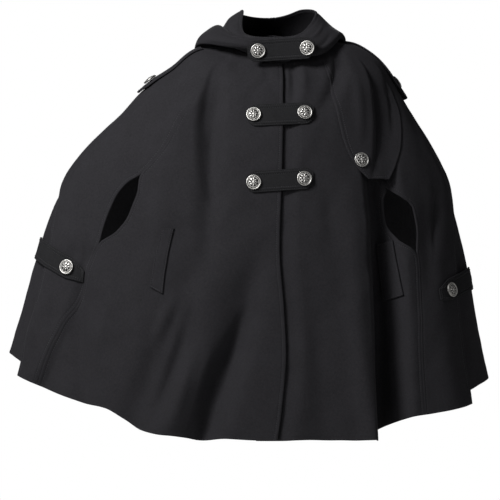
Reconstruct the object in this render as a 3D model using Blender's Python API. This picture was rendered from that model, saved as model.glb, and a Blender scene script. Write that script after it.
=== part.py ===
"""A hooded wool cape coat, hollow as it is worn, with its hood lying down.

The cape hangs from the neckline. Every cloth panel is cut from one surface, whose rings run round
the garment from the neckline to the hem. t is the share of the way down from the neckline, and
phi is the angle round the garment: 0 at the front, 90 degrees at the wearer's left, 180 at the
back. The front faces -Y, the wearer's left is +X, and the origin is at the base of the neck.
"""

import math

import bpy
import numpy as np
from mathutils.bvhtree import BVHTree

MM = 0.001
WALL = 3.0 * MM
SEAM_GAP = 0.4 * MM
LIFT = 4.1 * MM
TAB_LIFT = 3.5 * MM
COLLAR_LIFT = 3.2 * MM
FLAP_LIFT = 5.0 * MM
UNDERLAP = 34.0 * MM
VENT_UNDERLAP = 30.0 * MM
CLOSURE_STEP = 7.0 * MM
VENT_STEP = 9.0 * MM
HOOD_OPENING = math.radians(4.0)
HOOD_CLEAR = 4.2 * MM
STRAP_CLEAR = 5.0 * MM
BUTTON_RADIUS = 15.0 * MM
TAB_HALF = 22.0 * MM
EPAULETTE_HALF = 24.0 * MM
WELT_RIGHT_LIFT = 3.6 * MM
WELT_LEFT_LIFT = 4.0 * MM

# Positions marked "seen" are in a plane through the neck, as seen from this far in front.
EYE_DISTANCE = 6.0
EYE_HEIGHT = -0.40
EYE_SIDE = -0.047

# Rings of the cape, in millimetres: how far each side reaches and how high it is there, and the
# same for the middle of the front and of the back.
RINGS = {
    "t": (0.00, 0.08, 0.16, 0.24, 0.32, 0.40, 0.50, 0.60, 0.72, 0.86, 1.00),
    "right_x": (86, 153, 207, 261, 308, 358, 414, 451, 481, 513, 547),
    "right_z": (20, 10, -30, -70, -120, -168, -231, -309, -407, -522, -637),
    "left_x": (86, 153, 214, 252, 288, 325, 362, 380, 401, 422, 449),
    "left_z": (28, 22, -12, -71, -130, -189, -269, -355, -457, -578, -698),
    "front_y": (80, 112, 138, 156, 168, 177, 188, 199, 213, 231, 250),
    "front_z": (-22, -72, -128, -188, -250, -312, -390, -468, -561, -668, -775),
    "back_y": (72, 102, 127, 145, 159, 171, 186, 202, 222, 247, 272),
    "back_z": (36, -20, -80, -143, -208, -273, -355, -439, -540, -666, -800),
}

# Folds that run down the cloth: where each starts and ends, its angle there and how far its line
# bows, half its width and its height in millimetres at both ends (a trough is negative).
FOLDS = (
    # name, t0, t1, phi0, phi1, bow, half0, half1, high0, high1
    ("left front ridge", 0.30, 1.0, 29, 25.5, -2, 26, 24, 3, 18),
    ("left side ridge", 0.50, 1.0, 56, 53, 0, 40, 42, 2, 14),
    ("left side crease", 0.42, 0.76, 58, 51, 0, 22, 22, -5, -7),
    ("left of closure trough", 0.55, 1.0, 12, 13, 0, 30, 34, -2, -9),
    ("right chest trough", 0.06, 0.62, -40, -17, 5, 16, 26, -15, -8),
    ("right chest ridge", 0.12, 0.66, -54, -30, 4, 24, 34, 6, 3),
    ("right hem valley", 0.46, 1.0, -3, -17, 0, 26, 36, -8, -30),
    ("right hem ridge", 0.50, 1.0, -13, -24, 0, 26, 30, 4, 12),
    ("right outer valley", 0.52, 1.0, -20, -31, 0, 26, 32, -4, -14),
    ("right seam valley", 0.62, 1.0, -58, -44, 0, 24, 34, -5, -18),
    ("right side ridge", 0.58, 1.0, -68, -66, 0, 28, 32, 4, 12),
    ("back fold 1", 0.30, 1.0, 112, 108, 0, 26, 34, -3, -22),
    ("back fold 2", 0.34, 1.0, 133, 128, 0, 30, 38, 3, 20),
    ("back fold 3", 0.26, 1.0, 153, 150, 0, 24, 36, -4, -27),
    ("back fold 4", 0.40, 1.0, 177, 176, 0, 34, 44, 3, 17),
    ("back fold 5", 0.28, 1.0, -158, -154, 0, 26, 38, -4, -25),
    ("back fold 6", 0.36, 1.0, -137, -131, 0, 28, 38, 3, 21),
    ("back fold 7", 0.32, 1.0, -118, -110, 0, 26, 36, -3, -23),
)

# The sharp fold below the storm flap, where the left front turns in: its line, seen, and its depth
# in millimetres where it starts and at the hem. The recess beside it holds the arm slit.
PLEAT = ((179, -252), (183, -297), (191, -400), (197, -502), (201, -625), (205, -770))
PLEAT_START = 0.26
PLEAT_DEPTH = (24, 62)
PLEAT_DROP = 26.0 * MM
PLEAT_FLOOR = 20.0 * MM
PLEAT_REACH = 100.0 * MM

# How much lower than its ring the front's hem is, in millimetres, at degrees round the garment.
HEM_PHI = (-75, -60, -45, -38, -33, -28.5, -24.8, -21, -16, -9, 8, 16, 22, 27, 31, 38, 45, 52, 60, 75)
HEM_LOWER = (0, 0, -4, -9, 0, 12, 14, 10, 5, 0, 0, 5, 12, 17, -8, -14, -10, -6, -4, -4)

# The raglan seam, then the arm slit, then the seam below it, seen from the front in millimetres.
# The front panel ends on one edge and the side panel on the other: they part at the arm slit.
RAGLAN_RIGHT = ((-189, -133), (-211, -174), (-250, -224))
SLIT_RIGHT_TOP = (-269, -243)
SLIT_RIGHT_INNER = ((-279, -287), (-295, -328), (-321, -363))
SLIT_RIGHT_OUTER = ((-300, -262), (-327, -300), (-345, -344))
SLIT_RIGHT_FOOT = (-357, -388)
BELOW_RIGHT = ((-382, -445), (-401, -498), (-434, -552), (-462, -611), (-485, -674))
RAGLAN_LEFT = ((150, -92), (196, -174), (226, -232))
SLIT_LEFT_TOP = (240, -264)
SLIT_LEFT_INNER = ((238, -297), (243, -338), (262, -379))
SLIT_LEFT_OUTER = ((263, -290), (287, -312), (295, -350))
SLIT_LEFT_FOOT = (295, -412)
BELOW_LEFT = ((298, -460), (300, -502), (303, -605), (312, -738))

# The edge of the right front, which laps over the left one.
CLOSURE = ((17, -14), (20, -92), (18, -232), (13, -400), (22, -523), (26, -605), (17, -728), (8, -791))

# The side seams: closed from the neckline to the first row where phi moves forwards, open below.
VENT_RIGHT = ((0.0, -90), (0.50, -90), (0.60, -79), (0.72, -72), (0.86, -70), (1.0, -68.4))
VENT_LEFT = ((0.0, 89), (0.46, 88), (0.56, 80), (0.66, 71), (0.80, 66), (1.0, 62.6))
VENT_RIGHT_TOP = 0.50
VENT_LEFT_TOP = 0.46

# The hood, lying down: its section from the neckline seam, out over the shoulder, round its fold
# and back to its rim. Each pair of rows is the distance from the neck's axis and the height.
HOOD = {
    0: ((80, 84, 86, 87.5, 88, 88, 87.5, 86, 83, 77), (-18, -13, -8, -2, 4, 10, 16, 21, 26, 30)),
    45: ((83, 98, 114, 126, 129, 119, 107, 98, 88, 77), (8, 3, -2, -6, 5, 18, 28, 33, 37, 39)),
    90: ((86, 108, 128, 141, 143, 132, 117, 106, 97, 87), (32, 34, 33, 33, 41, 49, 58, 68, 77, 86)),
    135: ((80, 104, 140, 172, 184, 180, 160, 137, 110, 83), (36, 24, 0, -40, -30, 4, 36, 57, 80, 97)),
    180: ((72, 100, 146, 174, 198, 220, 212, 182, 142, 106), (41, -4, -106, -203, -206, -142, -50, 20, 64, 84)),
    -135: ((80, 104, 140, 172, 184, 180, 160, 137, 110, 84), (32, 21, -4, -44, -34, 0, 32, 52, 72, 86)),
    -90: ((86, 114, 142, 157, 152, 135, 114, 99, 88, 60), (24, 26, 21, 19, 33, 49, 60, 53, 72, 90)),
    -45: ((83, 95, 108, 119, 124, 117, 107, 98, 89, 78), (4, 7, 9, 11, 19, 27, 31, 33, 36, 38)),
}

# The three closing tabs, seen: the middles of the two ends and the two buttons.
TABS = (
    # name, end_x, end_z, end_x, end_z, button_x, button_z, button_x, button_z
    ("collar", -52, 0, 84, 8, -31, 1.5, 69, 7),
    ("chest", -52, -126, 84, -120, -39, -124, 65, -120),
    ("waist", -54, -262, 83, -253, -39, -262, 64, -254.5),
)

# The storm flap on the wearer's left: its free inner edge and its outer edge, seen.
FLAP_INNER = (
    (102, -14), (110, -36), (117, -62), (123, -90), (129, -115),
    (141, -168), (152, -199), (162, -217), (176, -238), (194, -255),
)
FLAP_OUTER = (
    (152, 10), (190, -3), (219, -31), (236, -58), (249, -86),
    (260, -120), (264, -158), (261, -195), (252, -226), (238, -256),
)
FLAP_BUTTON = (179, -217)

# Pocket welts, seen: upper two corners and lower two corners.
WELT_RIGHT = ((-226, -358), (-202, -355), (-252, -476), (-226, -490))
WELT_LEFT = ((230, -381), (256, -377), (247, -500), (273, -492))

COLOURS = {
    "wool": ((0.030, 0.029, 0.032), 0.92, 0.0),
    "silver": ((0.62, 0.61, 0.59), 0.32, 1.0),
}


def curve(xs, ys, x):
    """A smooth curve through a table's rows that never swings past them."""
    xs = np.asarray(xs, float)
    ys = np.asarray(ys, float)
    d = np.diff(ys) / np.diff(xs)
    m = np.zeros(len(xs))
    m[0] = d[0]
    m[-1] = d[-1]
    a = d[:-1]
    b = d[1:]
    same = a * b > 0
    m[1:-1][same] = 2 * a[same] * b[same] / (a[same] + b[same])
    i = np.clip(np.searchsorted(xs, x, side="right") - 1, 0, len(xs) - 2)
    h = xs[i + 1] - xs[i]
    u = (x - xs[i]) / h
    return (
        (2 * u**3 - 3 * u**2 + 1) * ys[i]
        + (u**3 - 2 * u**2 + u) * h * m[i]
        + (3 * u**2 - 2 * u**3) * ys[i + 1]
        + (u**3 - u**2) * h * m[i + 1]
    )


def step(u):
    """0 below 0 and 1 above 1, with a soft rise between."""
    u = np.clip(u, 0.0, 1.0)
    return u * u * (3 - 2 * u)


def ring(t, phi):
    """The reach and height of the ring at t, for the side and for the front or back at phi."""
    right = np.sin(phi) < 0
    front = np.cos(phi) > 0
    row = {name: curve(RINGS["t"], RINGS[name], t) * MM for name in RINGS if name != "t"}
    reach = np.where(right, row["right_x"], row["left_x"])
    side_z = np.where(right, row["right_z"], row["left_z"])
    depth = np.where(front, row["front_y"], row["back_y"])
    mid_z = np.where(front, row["front_z"], row["back_z"])
    return reach, side_z, depth, mid_z


def smooth_cape(t, phi):
    reach, side_z, depth, mid_z = ring(t, phi)
    s = np.sin(phi)
    c = np.cos(phi)
    return np.stack([reach * s, -depth * c, side_z * s * s + mid_z * c * c], axis=-1)


def speed(t, phi):
    """Metres of cloth for each radian round the ring."""
    reach, side_z, depth, mid_z = ring(t, phi)
    s = np.sin(phi)
    c = np.cos(phi)
    return np.sqrt((reach * c) ** 2 + (depth * s) ** 2 + (2 * (side_z - mid_z) * s * c) ** 2)


def facing(surface, t, phi):
    """The outward normal of a surface at t and phi."""
    h = 1e-4
    down = surface(t + h, phi) - surface(t - h, phi)
    across = surface(t, phi + h) - surface(t, phi - h)
    n = np.cross(down, across)
    return n / np.linalg.norm(n, axis=-1, keepdims=True)


def folds(t, phi):
    """How far the folds push the cloth out at t and phi."""
    out = np.zeros(np.broadcast(t, phi).shape)
    for _, t0, t1, phi0, phi1, bow, half0, half1, high0, high1 in FOLDS:
        u = np.clip((t - t0) / (t1 - t0), 0.0, 1.0)
        middle = np.radians(phi0 + (phi1 - phi0) * u + bow * 4 * u * (1 - u))
        away = (phi - middle + math.pi) % (2 * math.pi) - math.pi
        half = (half0 + (half1 - half0) * u) * MM
        high = (high0 + (high1 - high0) * u**1.4) * MM
        rise = step((t - t0) / 0.14)
        if t1 < 1.0:
            rise = rise * step((t1 - t) / 0.16)
        out = out + high * rise * np.exp(-((away * speed(t, middle) / half) ** 2))
    return out


def recess(t, phi):
    """How far in the cloth goes beside the sharp fold, at t and phi."""
    line = PLEAT_LINE(t)
    away = (phi - line + math.pi) % (2 * math.pi) - math.pi
    past = away * speed(t, line)
    out_again = step((past - PLEAT_FLOOR) / (PLEAT_REACH - PLEAT_FLOOR))
    u = np.clip((t - PLEAT_START) / (1 - PLEAT_START), 0.0, 1.0)
    depth = (PLEAT_DEPTH[0] + (PLEAT_DEPTH[1] - PLEAT_DEPTH[0]) * u) * MM
    depth = depth * step((t - PLEAT_START) / 0.16)
    return depth * step(past / PLEAT_DROP) * (1 - out_again)


def cape(t, phi):
    """A point of the cape's middle surface, with its folds."""
    n = facing(smooth_cape, t, phi)
    return smooth_cape(t, phi) + n * (folds(t, phi) - recess(t, phi))[..., None]


def over(t, phi):
    """The same, but straight across the recess, for the flap that hangs over it."""
    n = facing(smooth_cape, t, phi)
    return smooth_cape(t, phi) + n * folds(t, phi)[..., None]


def seen(p):
    """Where a point is seen in the plane through the neck."""
    nearer = EYE_DISTANCE / (EYE_DISTANCE + p[..., 1])
    x = EYE_SIDE + (p[..., 0] - EYE_SIDE) * nearer
    z = EYE_HEIGHT + (p[..., 2] - EYE_HEIGHT) * nearer
    return x, z


def find(x, z):
    """The t and phi of the front's point that is seen at x and z, in millimetres."""
    x = x * MM
    z = z * MM
    rows = np.linspace(-0.02, 1.06, 1081)
    t = 0.5
    phi = 0.0
    for _ in range(60):
        points = smooth_cape(rows, np.full(rows.shape, phi))
        _, heights = seen(points)
        t = float(np.interp(-z, -heights, rows))
        p = smooth_cape(np.float64(t), np.float64(phi))
        farther = (EYE_DISTANCE + p[1]) / EYE_DISTANCE
        wanted = EYE_SIDE + (x - EYE_SIDE) * farther
        reach = ring(np.float64(t), np.float64(1.0 if wanted > 0 else -1.0))[0]
        phi += 0.6 * (math.asin(max(-0.999, min(0.999, wanted / reach))) - phi)
    return t, phi


def edge(points, start=None):
    """An edge that runs down the cloth, as a function of t, through points seen from the front."""
    rows = [find(x, z) for x, z in points]
    if start is not None:
        rows.insert(0, (0.0, math.radians(start)))
    rows.sort()
    ts = [r[0] for r in rows]
    phis = [r[1] for r in rows]
    return lambda t: curve(ts, phis, t)


def angle_table(rows):
    ts = [r[0] for r in rows]
    phis = [math.radians(r[1]) for r in rows]
    return lambda t: curve(ts, phis, t)


RIGHT_FRONT_EDGE = edge(
    (*RAGLAN_RIGHT, SLIT_RIGHT_TOP, *SLIT_RIGHT_INNER, SLIT_RIGHT_FOOT, *BELOW_RIGHT), -50
)
RIGHT_OUTER_EDGE = edge(
    (*RAGLAN_RIGHT, SLIT_RIGHT_TOP, *SLIT_RIGHT_OUTER, SLIT_RIGHT_FOOT, *BELOW_RIGHT), -50
)
LEFT_FRONT_EDGE = edge(
    (*RAGLAN_LEFT, SLIT_LEFT_TOP, *SLIT_LEFT_INNER, SLIT_LEFT_FOOT, *BELOW_LEFT), 50
)
LEFT_OUTER_EDGE = edge(
    (*RAGLAN_LEFT, SLIT_LEFT_TOP, *SLIT_LEFT_OUTER, SLIT_LEFT_FOOT, *BELOW_LEFT), 50
)
CLOSURE_EDGE = edge(CLOSURE)
PLEAT_LINE = edge(PLEAT, 31)
RIGHT_VENT = angle_table(VENT_RIGHT)
LEFT_VENT = angle_table(VENT_LEFT)


def right_side_edge(t):
    """The side panel's edge at the seam: it leaves the front's edge only at the arm slit."""
    return np.minimum(RIGHT_OUTER_EDGE(t), RIGHT_FRONT_EDGE(t))


def left_side_edge(t):
    return np.maximum(LEFT_OUTER_EDGE(t), LEFT_FRONT_EDGE(t))


def materials():
    made = {}
    for name, (colour, roughness, metallic) in COLOURS.items():
        m = bpy.data.materials.new(name)
        m.use_nodes = True
        shader = m.node_tree.nodes["Principled BSDF"]
        shader.inputs["Base Color"].default_value = (*colour, 1.0)
        shader.inputs["Roughness"].default_value = roughness
        shader.inputs["Metallic"].default_value = metallic
        made[name] = m
    return made


def add(name, points, faces, material):
    mesh = bpy.data.meshes.new(name)
    mesh.from_pydata([tuple(map(float, p)) for p in points], [], faces)
    mesh.validate()
    mesh.materials.append(material)
    mesh.shade_smooth()
    mesh.set_sharp_from_angle(angle=math.radians(40))
    obj = bpy.data.objects.new(name, mesh)
    bpy.context.scene.collection.objects.link(obj)
    return obj


def wall(name, middle, normal, thick, material):
    """A closed sheet of cloth round a grid of middle points. Rows run down, columns to +phi."""
    rows, columns = middle.shape[:2]
    outer = (middle + normal * thick / 2).reshape(-1, 3)
    inner = (middle - normal * thick / 2).reshape(-1, 3)
    points = np.concatenate([outer, inner])
    n = rows * columns

    def at(i, j):
        return i * columns + j

    faces = []
    for i in range(rows - 1):
        for j in range(columns - 1):
            a, b, c, d = at(i, j), at(i + 1, j), at(i + 1, j + 1), at(i, j + 1)
            faces.append((a, b, c, d))
            faces.append((a + n, d + n, c + n, b + n))
    for j in range(columns - 1):
        a, b = at(0, j), at(0, j + 1)
        faces.append((a, b, b + n, a + n))
        a, b = at(rows - 1, j), at(rows - 1, j + 1)
        faces.append((b, a, a + n, b + n))
    for i in range(rows - 1):
        a, b = at(i, 0), at(i + 1, 0)
        faces.append((b, a, b + n))
        faces.append((a, a + n, b + n))
        a, b = at(i, columns - 1), at(i + 1, columns - 1)
        faces.append((a, b, b + n))
        faces.append((a, b + n, a + n))
    return add(name, points, faces, material)


def front_foot(t, phi):
    """The front's hem waves up and down a little."""
    return t + curve(HEM_PHI, HEM_LOWER, np.degrees(phi)) / 780 * step((t - 0.72) / 0.28)


def panel(name, rows, columns, low, high, shift, material, foot, stops=None):
    """A panel between two edges of the cape. shift moves it out, at t and phi. stops are places
    past a line, in metres, where the columns come closer together."""
    t = np.linspace(0.0, 1.0, rows)[:, None] * np.ones((1, columns))
    gap = SEAM_GAP / 2
    first = low(t)
    last = high(t)
    first = first + gap / speed(t, first)
    last = last - gap / speed(t, last)
    u = np.linspace(0.0, 1.0, columns)[None, :]
    phi = first + (last - first) * u
    if stops is not None:
        before, line, places, after = stops
        middle = line(t[:, :1])
        room = (last[:, :1] - middle) * speed(t[:, :1], middle) * 0.72
        narrow = np.minimum(1.0, room / (places[-1] * MM))
        at = middle + np.array(places)[None, :] * MM * narrow / speed(t[:, :1], middle)
        low_u = np.linspace(0.0, 1.0, before + 1)[None, :-1]
        high_u = np.linspace(0.0, 1.0, after + 1)[None, 1:]
        near = first[:, :1] + (at[:, :1] - first[:, :1]) * low_u
        far = at[:, -1:] + (last[:, :1] - at[:, -1:]) * high_u
        phi = np.concatenate([near, at, far], axis=1)
    t = foot(t, phi)
    n = facing(cape, t, phi)
    middle = cape(t, phi) + n * shift(t, phi)[..., None]
    return wall(name, middle, n, WALL, material)


def flat(t, phi):
    return np.zeros(np.broadcast(t, phi).shape)


def under_closure(t, phi):
    """The left front goes under the right one."""
    past = (phi - CLOSURE_EDGE(t)) * speed(t, phi)
    return -CLOSURE_STEP * (1 - step((past - 4 * MM) / (38 * MM)))


def under_vents(t, phi):
    """The back goes under the side panels below the top of each vent."""
    turned = (phi + math.pi) % (2 * math.pi) - math.pi
    left = step((t - VENT_LEFT_TOP) / 0.05)
    left = left * (1 - step((turned - LEFT_VENT(t)) / math.radians(22))) * (turned > 0)
    right = step((t - VENT_RIGHT_TOP) / 0.05)
    right = right * (1 - step((RIGHT_VENT(t) - turned) / math.radians(22))) * (turned < 0)
    return -VENT_STEP * (left + right)


def back_low(t):
    lap = VENT_UNDERLAP * step((t - VENT_LEFT_TOP - 0.04) / 0.10)
    return LEFT_VENT(t) - lap / speed(t, LEFT_VENT(t))


def back_high(t):
    lap = VENT_UNDERLAP * step((t - VENT_RIGHT_TOP - 0.04) / 0.10)
    return 2 * math.pi + RIGHT_VENT(t) + lap / speed(t, RIGHT_VENT(t))


def back_foot(t, phi):
    """The back's hem is a little higher than the front's at the sides."""
    share = np.where(np.sin(phi) > 0, 0.042, 0.032)
    return t - share * np.sin(phi) ** 2 * step((t - 0.7) / 0.3)


# Columns beside the sharp fold, in millimetres past its line.
PLEAT_STOPS = (-24, -9, 0, 6, 12, 18, 24, 31, 42)


def make_panels(wool):
    panel("front_right", 21, 27, RIGHT_FRONT_EDGE, CLOSURE_EDGE, flat, wool, front_foot)
    panel(
        "front_left",
        21,
        22,
        lambda t: CLOSURE_EDGE(t) - UNDERLAP / speed(t, CLOSURE_EDGE(t)),
        LEFT_FRONT_EDGE,
        under_closure,
        wool,
        front_foot,
        (9, PLEAT_LINE, PLEAT_STOPS, 4),
    )
    panel("side_right", 21, 8, RIGHT_VENT, right_side_edge, flat, wool, front_foot)
    panel("side_left", 21, 9, left_side_edge, LEFT_VENT, flat, wool, front_foot)
    panel("back", 21, 31, back_low, back_high, under_vents, wool, back_foot)


def hood(s, phi):
    """A point of the hood: s runs from the neckline seam, 0, to the rim, 1."""
    turned = np.degrees(phi) % 360.0
    angles = sorted(a % 360 for a in HOOD)
    sections = {a % 360: HOOD[a] for a in HOOD}
    count = len(angles)
    steps = np.linspace(0.0, 1.0, 10)
    width = 360 / count
    i = np.floor(turned / width).astype(int) % count
    u = turned / width - np.floor(turned / width)
    reach = np.zeros(np.broadcast(s, phi).shape)
    height = np.zeros(reach.shape)
    weights = (
        -0.5 * u + u**2 - 0.5 * u**3,
        1 - 2.5 * u**2 + 1.5 * u**3,
        0.5 * u + 2 * u**2 - 1.5 * u**3,
        -0.5 * u**2 + 0.5 * u**3,
    )
    for k, weight in enumerate(weights):
        for a_index, a in enumerate(angles):
            here = ((i + k - 1) % count) == a_index
            reach = reach + here * weight * curve(steps, sections[a][0], s)
            height = height + here * weight * curve(steps, sections[a][1], s)
    reach = reach * MM
    height = np.maximum(height * MM, resting(reach, phi))
    return np.stack([reach * np.sin(phi), -reach * np.cos(phi), height], axis=-1)


def resting(reach, angle):
    """The lowest that the hood may be at this distance from the neck: just over the cape."""
    low = np.zeros(reach.shape)
    high = np.full(reach.shape, 0.6)
    for _ in range(22):
        t = (low + high) / 2
        along, _, depth, _ = ring(t, angle)
        phi = np.arctan2(depth * np.sin(angle), along * np.cos(angle))
        p = smooth_cape(t, phi)
        inside = np.hypot(p[..., 0], p[..., 1]) < reach
        low = np.where(inside, t, low)
        high = np.where(inside, high, t)
    up = np.maximum(facing(smooth_cape, t, phi)[..., 2], 0.3)
    beside = np.abs(np.degrees((angle + math.pi) % (2 * math.pi) - math.pi))
    clear = HOOD_CLEAR + STRAP_CLEAR * np.exp(-(((beside - 92) / 24) ** 4))
    return p[..., 2] + clear / up


def make_hood(wool):
    """The hood's halves meet at its centre seam, behind, and at the throat."""
    for name, first, last in (
        ("hood_right", -math.pi, HOOD_OPENING),
        ("hood_left", HOOD_OPENING, math.pi),
    ):
        s = np.linspace(0.0, 1.0, 17)[:, None] * np.ones((1, 19))
        ends = []
        for end, way in ((first, 1), (last, -1)):
            p = hood(s[:, :1], np.full((17, 1), end))
            gap = SEAM_GAP / 2 / np.hypot(p[..., 0], p[..., 1])
            ends.append(end + way * gap)
        u = np.linspace(0.0, 1.0, 19)[None, :]
        phi = ends[0] + (ends[1] - ends[0]) * u
        n = -facing(hood, s, phi)
        wall(name, hood(s, phi)[::-1], n[::-1], WALL, wool)


def tree_of(surface, first, last, rows, columns):
    """A fine mesh of a surface, for laying pieces on it from the front."""
    s = np.linspace(0.0, 1.0, rows)[:, None] * np.ones((1, columns))
    phi = np.linspace(first, last, columns)[None, :] * np.ones((rows, 1))
    points = surface(s, phi).reshape(-1, 3)
    faces = [
        (i * columns + j, (i + 1) * columns + j, (i + 1) * columns + j + 1, i * columns + j + 1)
        for i in range(rows - 1)
        for j in range(columns - 1)
    ]
    return BVHTree.FromPolygons([tuple(p) for p in points], faces)


def laid(tree, x, z):
    """The point of a surface that is seen at x and z, in millimetres."""
    eye = np.array([EYE_SIDE, -EYE_DISTANCE, EYE_HEIGHT])
    to = np.array([x * MM, 0.0, z * MM]) - eye
    hit = tree.ray_cast(tuple(eye), tuple(to / np.linalg.norm(to)))
    return np.array(hit[0])


def grid_normal(middle):
    """Outward normals of a grid of points."""
    n = np.cross(np.gradient(middle, axis=0), np.gradient(middle, axis=1))
    return n / np.linalg.norm(n, axis=-1, keepdims=True)


def strap_outline(u, blunt, both):
    """How wide a strap is at u, from 0 to 1 along it: full, then in to a blunt point."""
    ends = np.minimum(1 - u, u) if both else 1 - u
    return 0.45 + 0.55 * np.clip(ends / blunt, 0.0, 1.0) ** 0.7


def frame_at(middle, normal, near):
    """The grid's point nearest to a place, and the normal and the way along the rows there."""
    d = np.linalg.norm(middle - near, axis=-1)
    i, j = np.unravel_index(np.argmin(d), d.shape)
    n = normal[i, j]
    down = np.gradient(middle, axis=0)[i, j]
    return n, down / np.linalg.norm(down)


def lathe(profile, turns, petals):
    """A turned shape. petals lifts and drops the named ring by a wave round it."""
    points = [(0.0, 0.0, profile[0][1])]
    for k, (r, h) in enumerate(profile[1:-1]):
        for i in range(turns):
            a = 2 * math.pi * i / turns
            wave = petals.get(k + 1, 0.0) * math.cos(8 * a)
            points.append((r * math.cos(a), r * math.sin(a), h + wave))
    points.append((0.0, 0.0, profile[-1][1]))
    faces = []
    rings = len(profile) - 2
    last = len(points) - 1
    for i in range(turns):
        j = (i + 1) % turns
        faces.append((0, 1 + j, 1 + i))
        for k in range(rings - 1):
            a = 1 + k * turns
            b = a + turns
            faces.append((a + i, a + j, b + j, b + i))
        a = 1 + (rings - 1) * turns
        faces.append((a + i, a + j, last))
    return points, faces


# From the middle of the back, out round the rim, in over a groove and up the dome, in millimetres.
BUTTON = ((0, 0), (13.8, 0), (15, 2.2), (13.4, 4.0), (11.2, 3.1), (6.4, 5.2), (0, 6.0))


def button(name, place, normal, down, silver):
    """A domed metal button that stands on its back face at place."""
    across = np.cross(down, normal)
    down = np.cross(normal, across)
    profile = [(r * MM, h * MM) for r, h in BUTTON]
    points, faces = lathe(profile, 24, {5: 0.5 * MM})
    placed = [place + p[0] * across + p[1] * down + p[2] * normal for p in points]
    obj = add(name, placed, faces, silver)
    return obj


def make_tabs(wool, silver, cape_tree, hood_tree):
    """The three straps that close the front, each held by two buttons."""
    for name, x0, z0, x1, z1, bx0, bz0, bx1, bz1 in TABS:
        along = np.linspace(0.0, 1.0, 15)
        across = np.linspace(-1.0, 1.0, 5)
        grid = np.zeros((5, 15, 3))
        for j, u in enumerate(along):
            half = TAB_HALF / MM * strap_outline(u, 0.10, True)
            for i, v in enumerate(across):
                x = x0 + (x1 - x0) * u
                z = z0 + (z1 - z0) * u - v * half
                if name == "collar":
                    grid[i, j] = (x * MM, collar_line(hood_tree, x, z0 + (z1 - z0) * u), z * MM)
                else:
                    grid[i, j] = laid(cape_tree, x, z)
        if name == "collar":
            bend = np.polyfit(grid[2, :, 0], grid[2, :, 1], 2)
            line = np.polyval(bend, grid[2, :, 0])
            line = line - max(0.0, float((line - grid[2, :, 1]).max()))
            grid[:, :, 1] = line[None, :]
        normal = grid_normal(grid)
        lift = COLLAR_LIFT if name == "collar" else TAB_LIFT
        wall(f"{name}_tab", grid + normal * lift, normal, WALL, wool)
        for side, bx, bz in (("right", bx0, bz0), ("left", bx1, bz1)):
            u = (bx - x0) / (x1 - x0)
            v = (z0 + (z1 - z0) * u - bz) / (TAB_HALF / MM)
            row = 2 + 2 * v
            low = int(min(max(math.floor(row), 0), 3))
            part = row - low
            line = grid[low] * (1 - part) + grid[low + 1] * part
            on = np.array([np.interp(u, along, line[:, k]) for k in range(3)])
            n = np.array([np.interp(u, along, normal[2, :, k]) for k in range(3)])
            n = n / np.linalg.norm(n)
            down = grid[4, 7] - grid[0, 7]
            down = down - n * float(np.dot(down, n))
            place = on + n * (lift + WALL / 2 + 0.7 * MM)
            button(f"{name}_button_{side}", place, n, down / np.linalg.norm(down), silver)


def collar_line(tree, x, z):
    """How far out the hood's front stands over a strap's height, at x."""
    found = []
    for dz in (-20, -12, -4, 4, 12, 20):
        hit = tree.ray_cast((x * MM, -1.0, (z + dz) * MM), (0.0, 1.0, 0.0))[0]
        if hit is not None:
            found.append(hit[1])
    return min(found)


def make_flap(wool, silver):
    """The storm flap that covers the wearer's left shoulder and chest."""
    rows = 15
    columns = 9
    v = np.linspace(0.0, 1.0, len(FLAP_INNER))
    at = np.linspace(0.0, 1.0, rows)
    ends = []
    for table in (FLAP_INNER, FLAP_OUTER):
        xs = curve(v, [p[0] for p in table], at)
        zs = curve(v, [p[1] for p in table], at)
        ends.append([find(x, z) for x, z in zip(xs, zs)])
    first = np.array(ends[0])
    last = np.array(ends[1])
    u = np.linspace(0.0, 1.0, columns)[None, :, None]
    cells = first[:, None, :] + (last - first)[:, None, :] * u
    t = cells[..., 0]
    phi = cells[..., 1]
    n = facing(over, t, phi)
    wall("storm_flap", over(t, phi) + n * FLAP_LIFT, n, WALL, wool)
    t, phi = (np.float64(k) for k in find(*FLAP_BUTTON))
    n = facing(over, t, phi)
    place = over(t, phi) + n * (FLAP_LIFT + WALL / 2 + 0.7 * MM)
    down = over(t + 0.01, phi) - over(t, phi)
    button("flap_button", place, n, down / np.linalg.norm(down), silver)


def make_welts(wool):
    """The pocket welts, sewn flat on the fronts."""
    for name, corners, lift in (
        ("right", WELT_RIGHT, WELT_RIGHT_LIFT),
        ("left", WELT_LEFT, WELT_LEFT_LIFT),
    ):
        a, b, c, d = (np.array(find(*p)) for p in corners)
        v = np.linspace(0.0, 1.0, 7)[:, None, None]
        u = np.linspace(0.0, 1.0, 4)[None, :, None]
        cells = (a + (b - a) * u) * (1 - v) + (c + (d - c) * u) * v
        t = cells[..., 0]
        phi = cells[..., 1]
        n = facing(cape, t, phi)
        wall(f"pocket_welt_{name}", cape(t, phi) + n * lift, n, WALL, wool)


# Epaulettes: where each starts and ends down the shoulder, its line, and how far its end stands off.
EPAULETTES = (
    # name, t0, t1, phi, button_t, stand_off
    ("right", 0.072, 0.260, -88, 0.217, 2.5),
    ("left", 0.068, 0.272, 97, 0.226, 7.0),
)


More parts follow.
